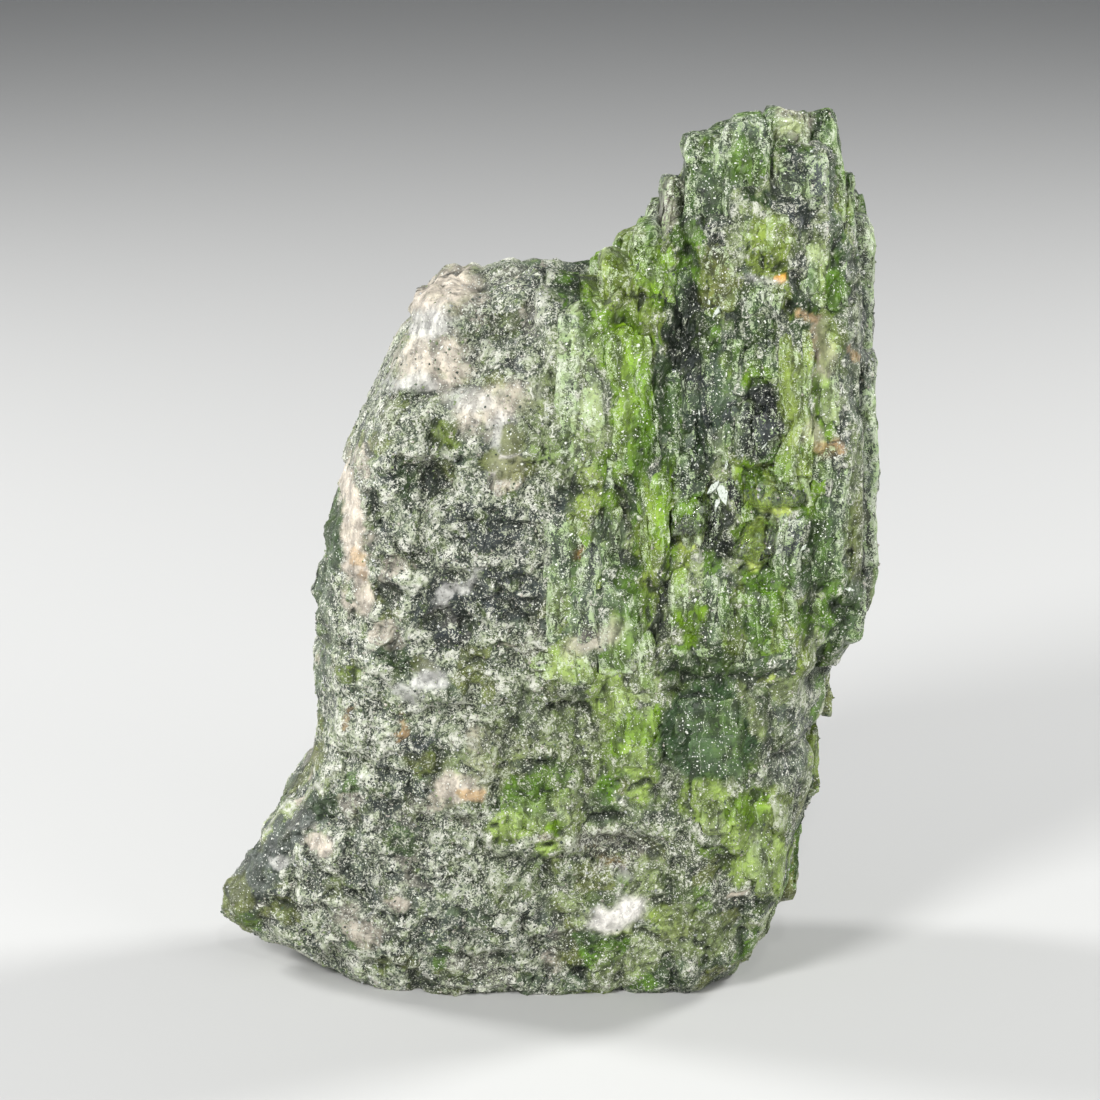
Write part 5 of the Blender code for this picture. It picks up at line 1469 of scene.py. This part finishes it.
def clearMaterial(name, look):
    # see-through, with absorption inside and frost that lies on it in places
    sheet = Sheet(name)
    place = sheet.place()
    upright = sheet.drawnOut(place, look["streak"])
    streaks = sheet.noise(upright, look["streaks"])
    low, high = look["roughness"]
    sheet.surface({"Roughness": low + (high - low) * streaks.rises(0.42, 0.68)})
    bumped = sheet.bump(look["bump"], look["bumpDepth"], streaks + 0.4 * sheet.noise(place, look["fine"]))
    sheet.surface({"Normal": bumped, "Base Color": look["colour"]})
    sheet.surface({"IOR": look["ior"], "Transmission Weight": 1.0})
    values = {"Color": look["absorb"], "Density": look["density"]}
    sheet.feed(sheet.output.inputs["Volume"], sheet.add("ShaderNodeVolumeAbsorption", {}, values))
    lace = 0.5 * sheet.noise(upright, look["skinCoarse"]) + 0.5 * sheet.noise(place, look["skinFine"])
    skin = (lace - look["skinStart"]).rises(0.0, 0.03)
    spots = sheet.noise(place, look["skinSpots"]).rises(0.40, 0.58)
    skinColour = sheet.mix(spots, look["skinPale"], look["skinGreen"])
    values = {"Base Color": skinColour, "Roughness": look["skinRough"], "Normal": bumped}
    frosted = sheet.add("ShaderNodeBsdfPrincipled", {}, values)
    clear = Wire(sheet, sheet.shader.outputs[0])
    both = sheet.add("ShaderNodeMixShader", {}, {0: skin * look["skinMost"], 1: clear, 2: frosted})
    sheet.feed(sheet.output.inputs["Surface"], both)
    return sheet.material


# the pale light colour of the glint plates is painted highlight, laid on their real reflections of the key
# light
glintLook = {
    "streak": 0.4, "streaks": (4.5, 3.0, 0.6), "dark": (0.10, 0.15, 0.07), "light": (0.52, 0.56, 0.50),
    "roughness": (0.16, 0.50), "ior": 1.68, "bump": 0.7, "bumpDepth": 0.0001,
}
gritLook = {"cloud": (6.0, 2.0, 0.6), "dull": (0.10, 0.14, 0.09), "dullMost": 0.4, "roughness": (0.35, 0.4)}


def glintMaterial(name, look):
    # pale streaks of painted highlight between darker green ones along a glassy face, under its real
    # reflections
    sheet = Sheet(name)
    streaks = sheet.noise(sheet.drawnOut(sheet.place(), look["streak"]), look["streaks"])
    low, more = look["roughness"]
    sheet.surface({"Base Color": sheet.mix(streaks.rises(0.4, 0.6), look["dark"], look["light"])})
    sheet.surface({"Roughness": low + more * streaks.rises(0.42, 0.60), "IOR": look["ior"]})
    return sheet.surface({"Normal": sheet.bump(look["bump"], look["bumpDepth"], streaks)})


def gritMaterial(name, look):
    # each grain's own colour, dulled in places
    sheet = Sheet(name)
    cloud = sheet.noise(sheet.place(), look["cloud"])
    dull = cloud.rises(0.35, 0.7) * look["dullMost"]
    low, more = look["roughness"]
    sheet.surface({"Base Color": sheet.mix(dull, sheet.attribute("tint", 0), look["dull"])})
    return sheet.surface({"Roughness": low + more * cloud})


# each material, and the pieces that wear it
wears = [
    (grainedMaterial("grained_rock", grainedLook), ("frontRockLeft", "frontRockRight", "backRock")),
    (
        grainedMaterial("green_column", columnLook),
        ("upperColumns", "lowerColumns", "backColumns", "frontSplinters", "backSplinters"),
    ),
    (clearMaterial("clear_diopside", clearLook), ("clearColumns",)),
    (gritMaterial("mineral_grit", gritLook), ("mineralGrit",)),
    (glintMaterial("cleavage_glint", glintLook), ("cleavageGlints",)),
]
for material, names in wears:
    for key in names:
        pieces[key].data.materials.append(material)
for piece in pieces.values():
    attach(piece, "root")
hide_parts("diopside_crystal")
print("materials set")


# floor, light and camera

studio = {
    "floorColour": (0.52, 0.52, 0.51), "floorRough": 0.85,
    "worldColour": (0.80, 0.84, 0.90), "worldStrength": 0.22,
    # where the floor turns up behind, its end in front, width and height, and the turn's radius and points
    "floor": {"back": 1.1, "front": -1.6, "width": 3.0, "top": 2.4, "radius": 0.5, "points": 24},
    # name, place, size across, power in watts; all are aimed at the piece's middle
    "lamps": [
        ("keyLight", (-0.26, -0.42, 0.36), 0.15, 3.1),
        ("fillLight", (0.42, -0.40, 0.24), 0.30, 1.0),
        ("lowFill", (0.06, -0.50, 0.09), 0.25, 0.55),
        ("leftRim", (-0.40, 0.16, 0.28), 0.12, 2.0),
        ("rightRim", (0.40, 0.18, 0.32), 0.12, 2.2),
        ("sparkle", (0.06, -0.52, 0.50), 0.03, 0.5),
    ],
    "aim": (0, 0, 0.035),
}


def floorAndWorld(look):
    # a wide plane that turns up behind in a quarter circle
    angle = np.linspace(0, np.pi / 2, look["points"])
    back, radius = look["back"], look["radius"]
    run = np.concatenate([[look["front"]], back + radius * np.sin(angle), [back + radius]])
    rise = np.concatenate([[0.0], radius - radius * np.cos(angle), [look["top"]]])
    y, x = np.meshgrid(run, (-look["width"] / 2, look["width"] / 2), indexing="ij")
    points = np.stack([x, y, np.broadcast_to(rise[:, None], x.shape)], -1).reshape(-1, 3)
    floor = objectFrom("studioFloor", points, gridQuads(len(run), 2)[:, ::-1].tolist())
    sheet = Sheet("pale_floor")
    sheet.surface({"Base Color": studio["floorColour"], "Roughness": studio["floorRough"]})
    floor.data.materials.append(sheet.material)
    world = bpy.data.worlds.new("studio")
    world.use_nodes = True
    background = world.node_tree.nodes["Background"].inputs
    background[0].default_value = (*studio["worldColour"], 1)
    background[1].default_value = studio["worldStrength"]
    bpy.context.scene.world = world


def aimed(name, data, place, direction):
    # an object at this place that looks along this direction
    thing = bpy.data.objects.new(name, data)
    thing.location = place
    thing.rotation_mode = "QUATERNION"
    thing.rotation_quaternion = direction.to_track_quat("-Z", "Y")
    bpy.context.scene.collection.objects.link(thing)
    return thing


def addLamp(name, place, size, power):
    lamp = bpy.data.lights.new(name, "AREA")
    lamp.shape, lamp.size, lamp.energy = "DISK", size, power
    aimed(name, lamp, place, Vector(studio["aim"]) - Vector(place))


camera = {
    "elevation": 15.0, "distance": 0.30556, "lens": 120.0, "sensor": 36.0, "clip": (0.01, 20.0),
    "aim": (float(shift[0]) * mm, float(shift[1]) * mm, 0.0357),
}


def addCamera():
    tilt = math.radians(camera["elevation"])
    back = Vector((0, -math.cos(tilt), math.sin(tilt)))
    view = bpy.data.cameras.new("photoView")
    view.lens, view.sensor_width = camera["lens"], camera["sensor"]
    view.clip_start, view.clip_end = camera["clip"]
    place = Vector(camera["aim"]) + back * camera["distance"]
    bpy.context.scene.camera = aimed("photoView", view, place, -back)


bpy.context.scene.view_settings.view_transform = "Standard"  # keeps the greens as they are mixed
floorAndWorld(studio["floor"])
for row in studio["lamps"]:
    addLamp(*row)
addCamera()
print("studio set")
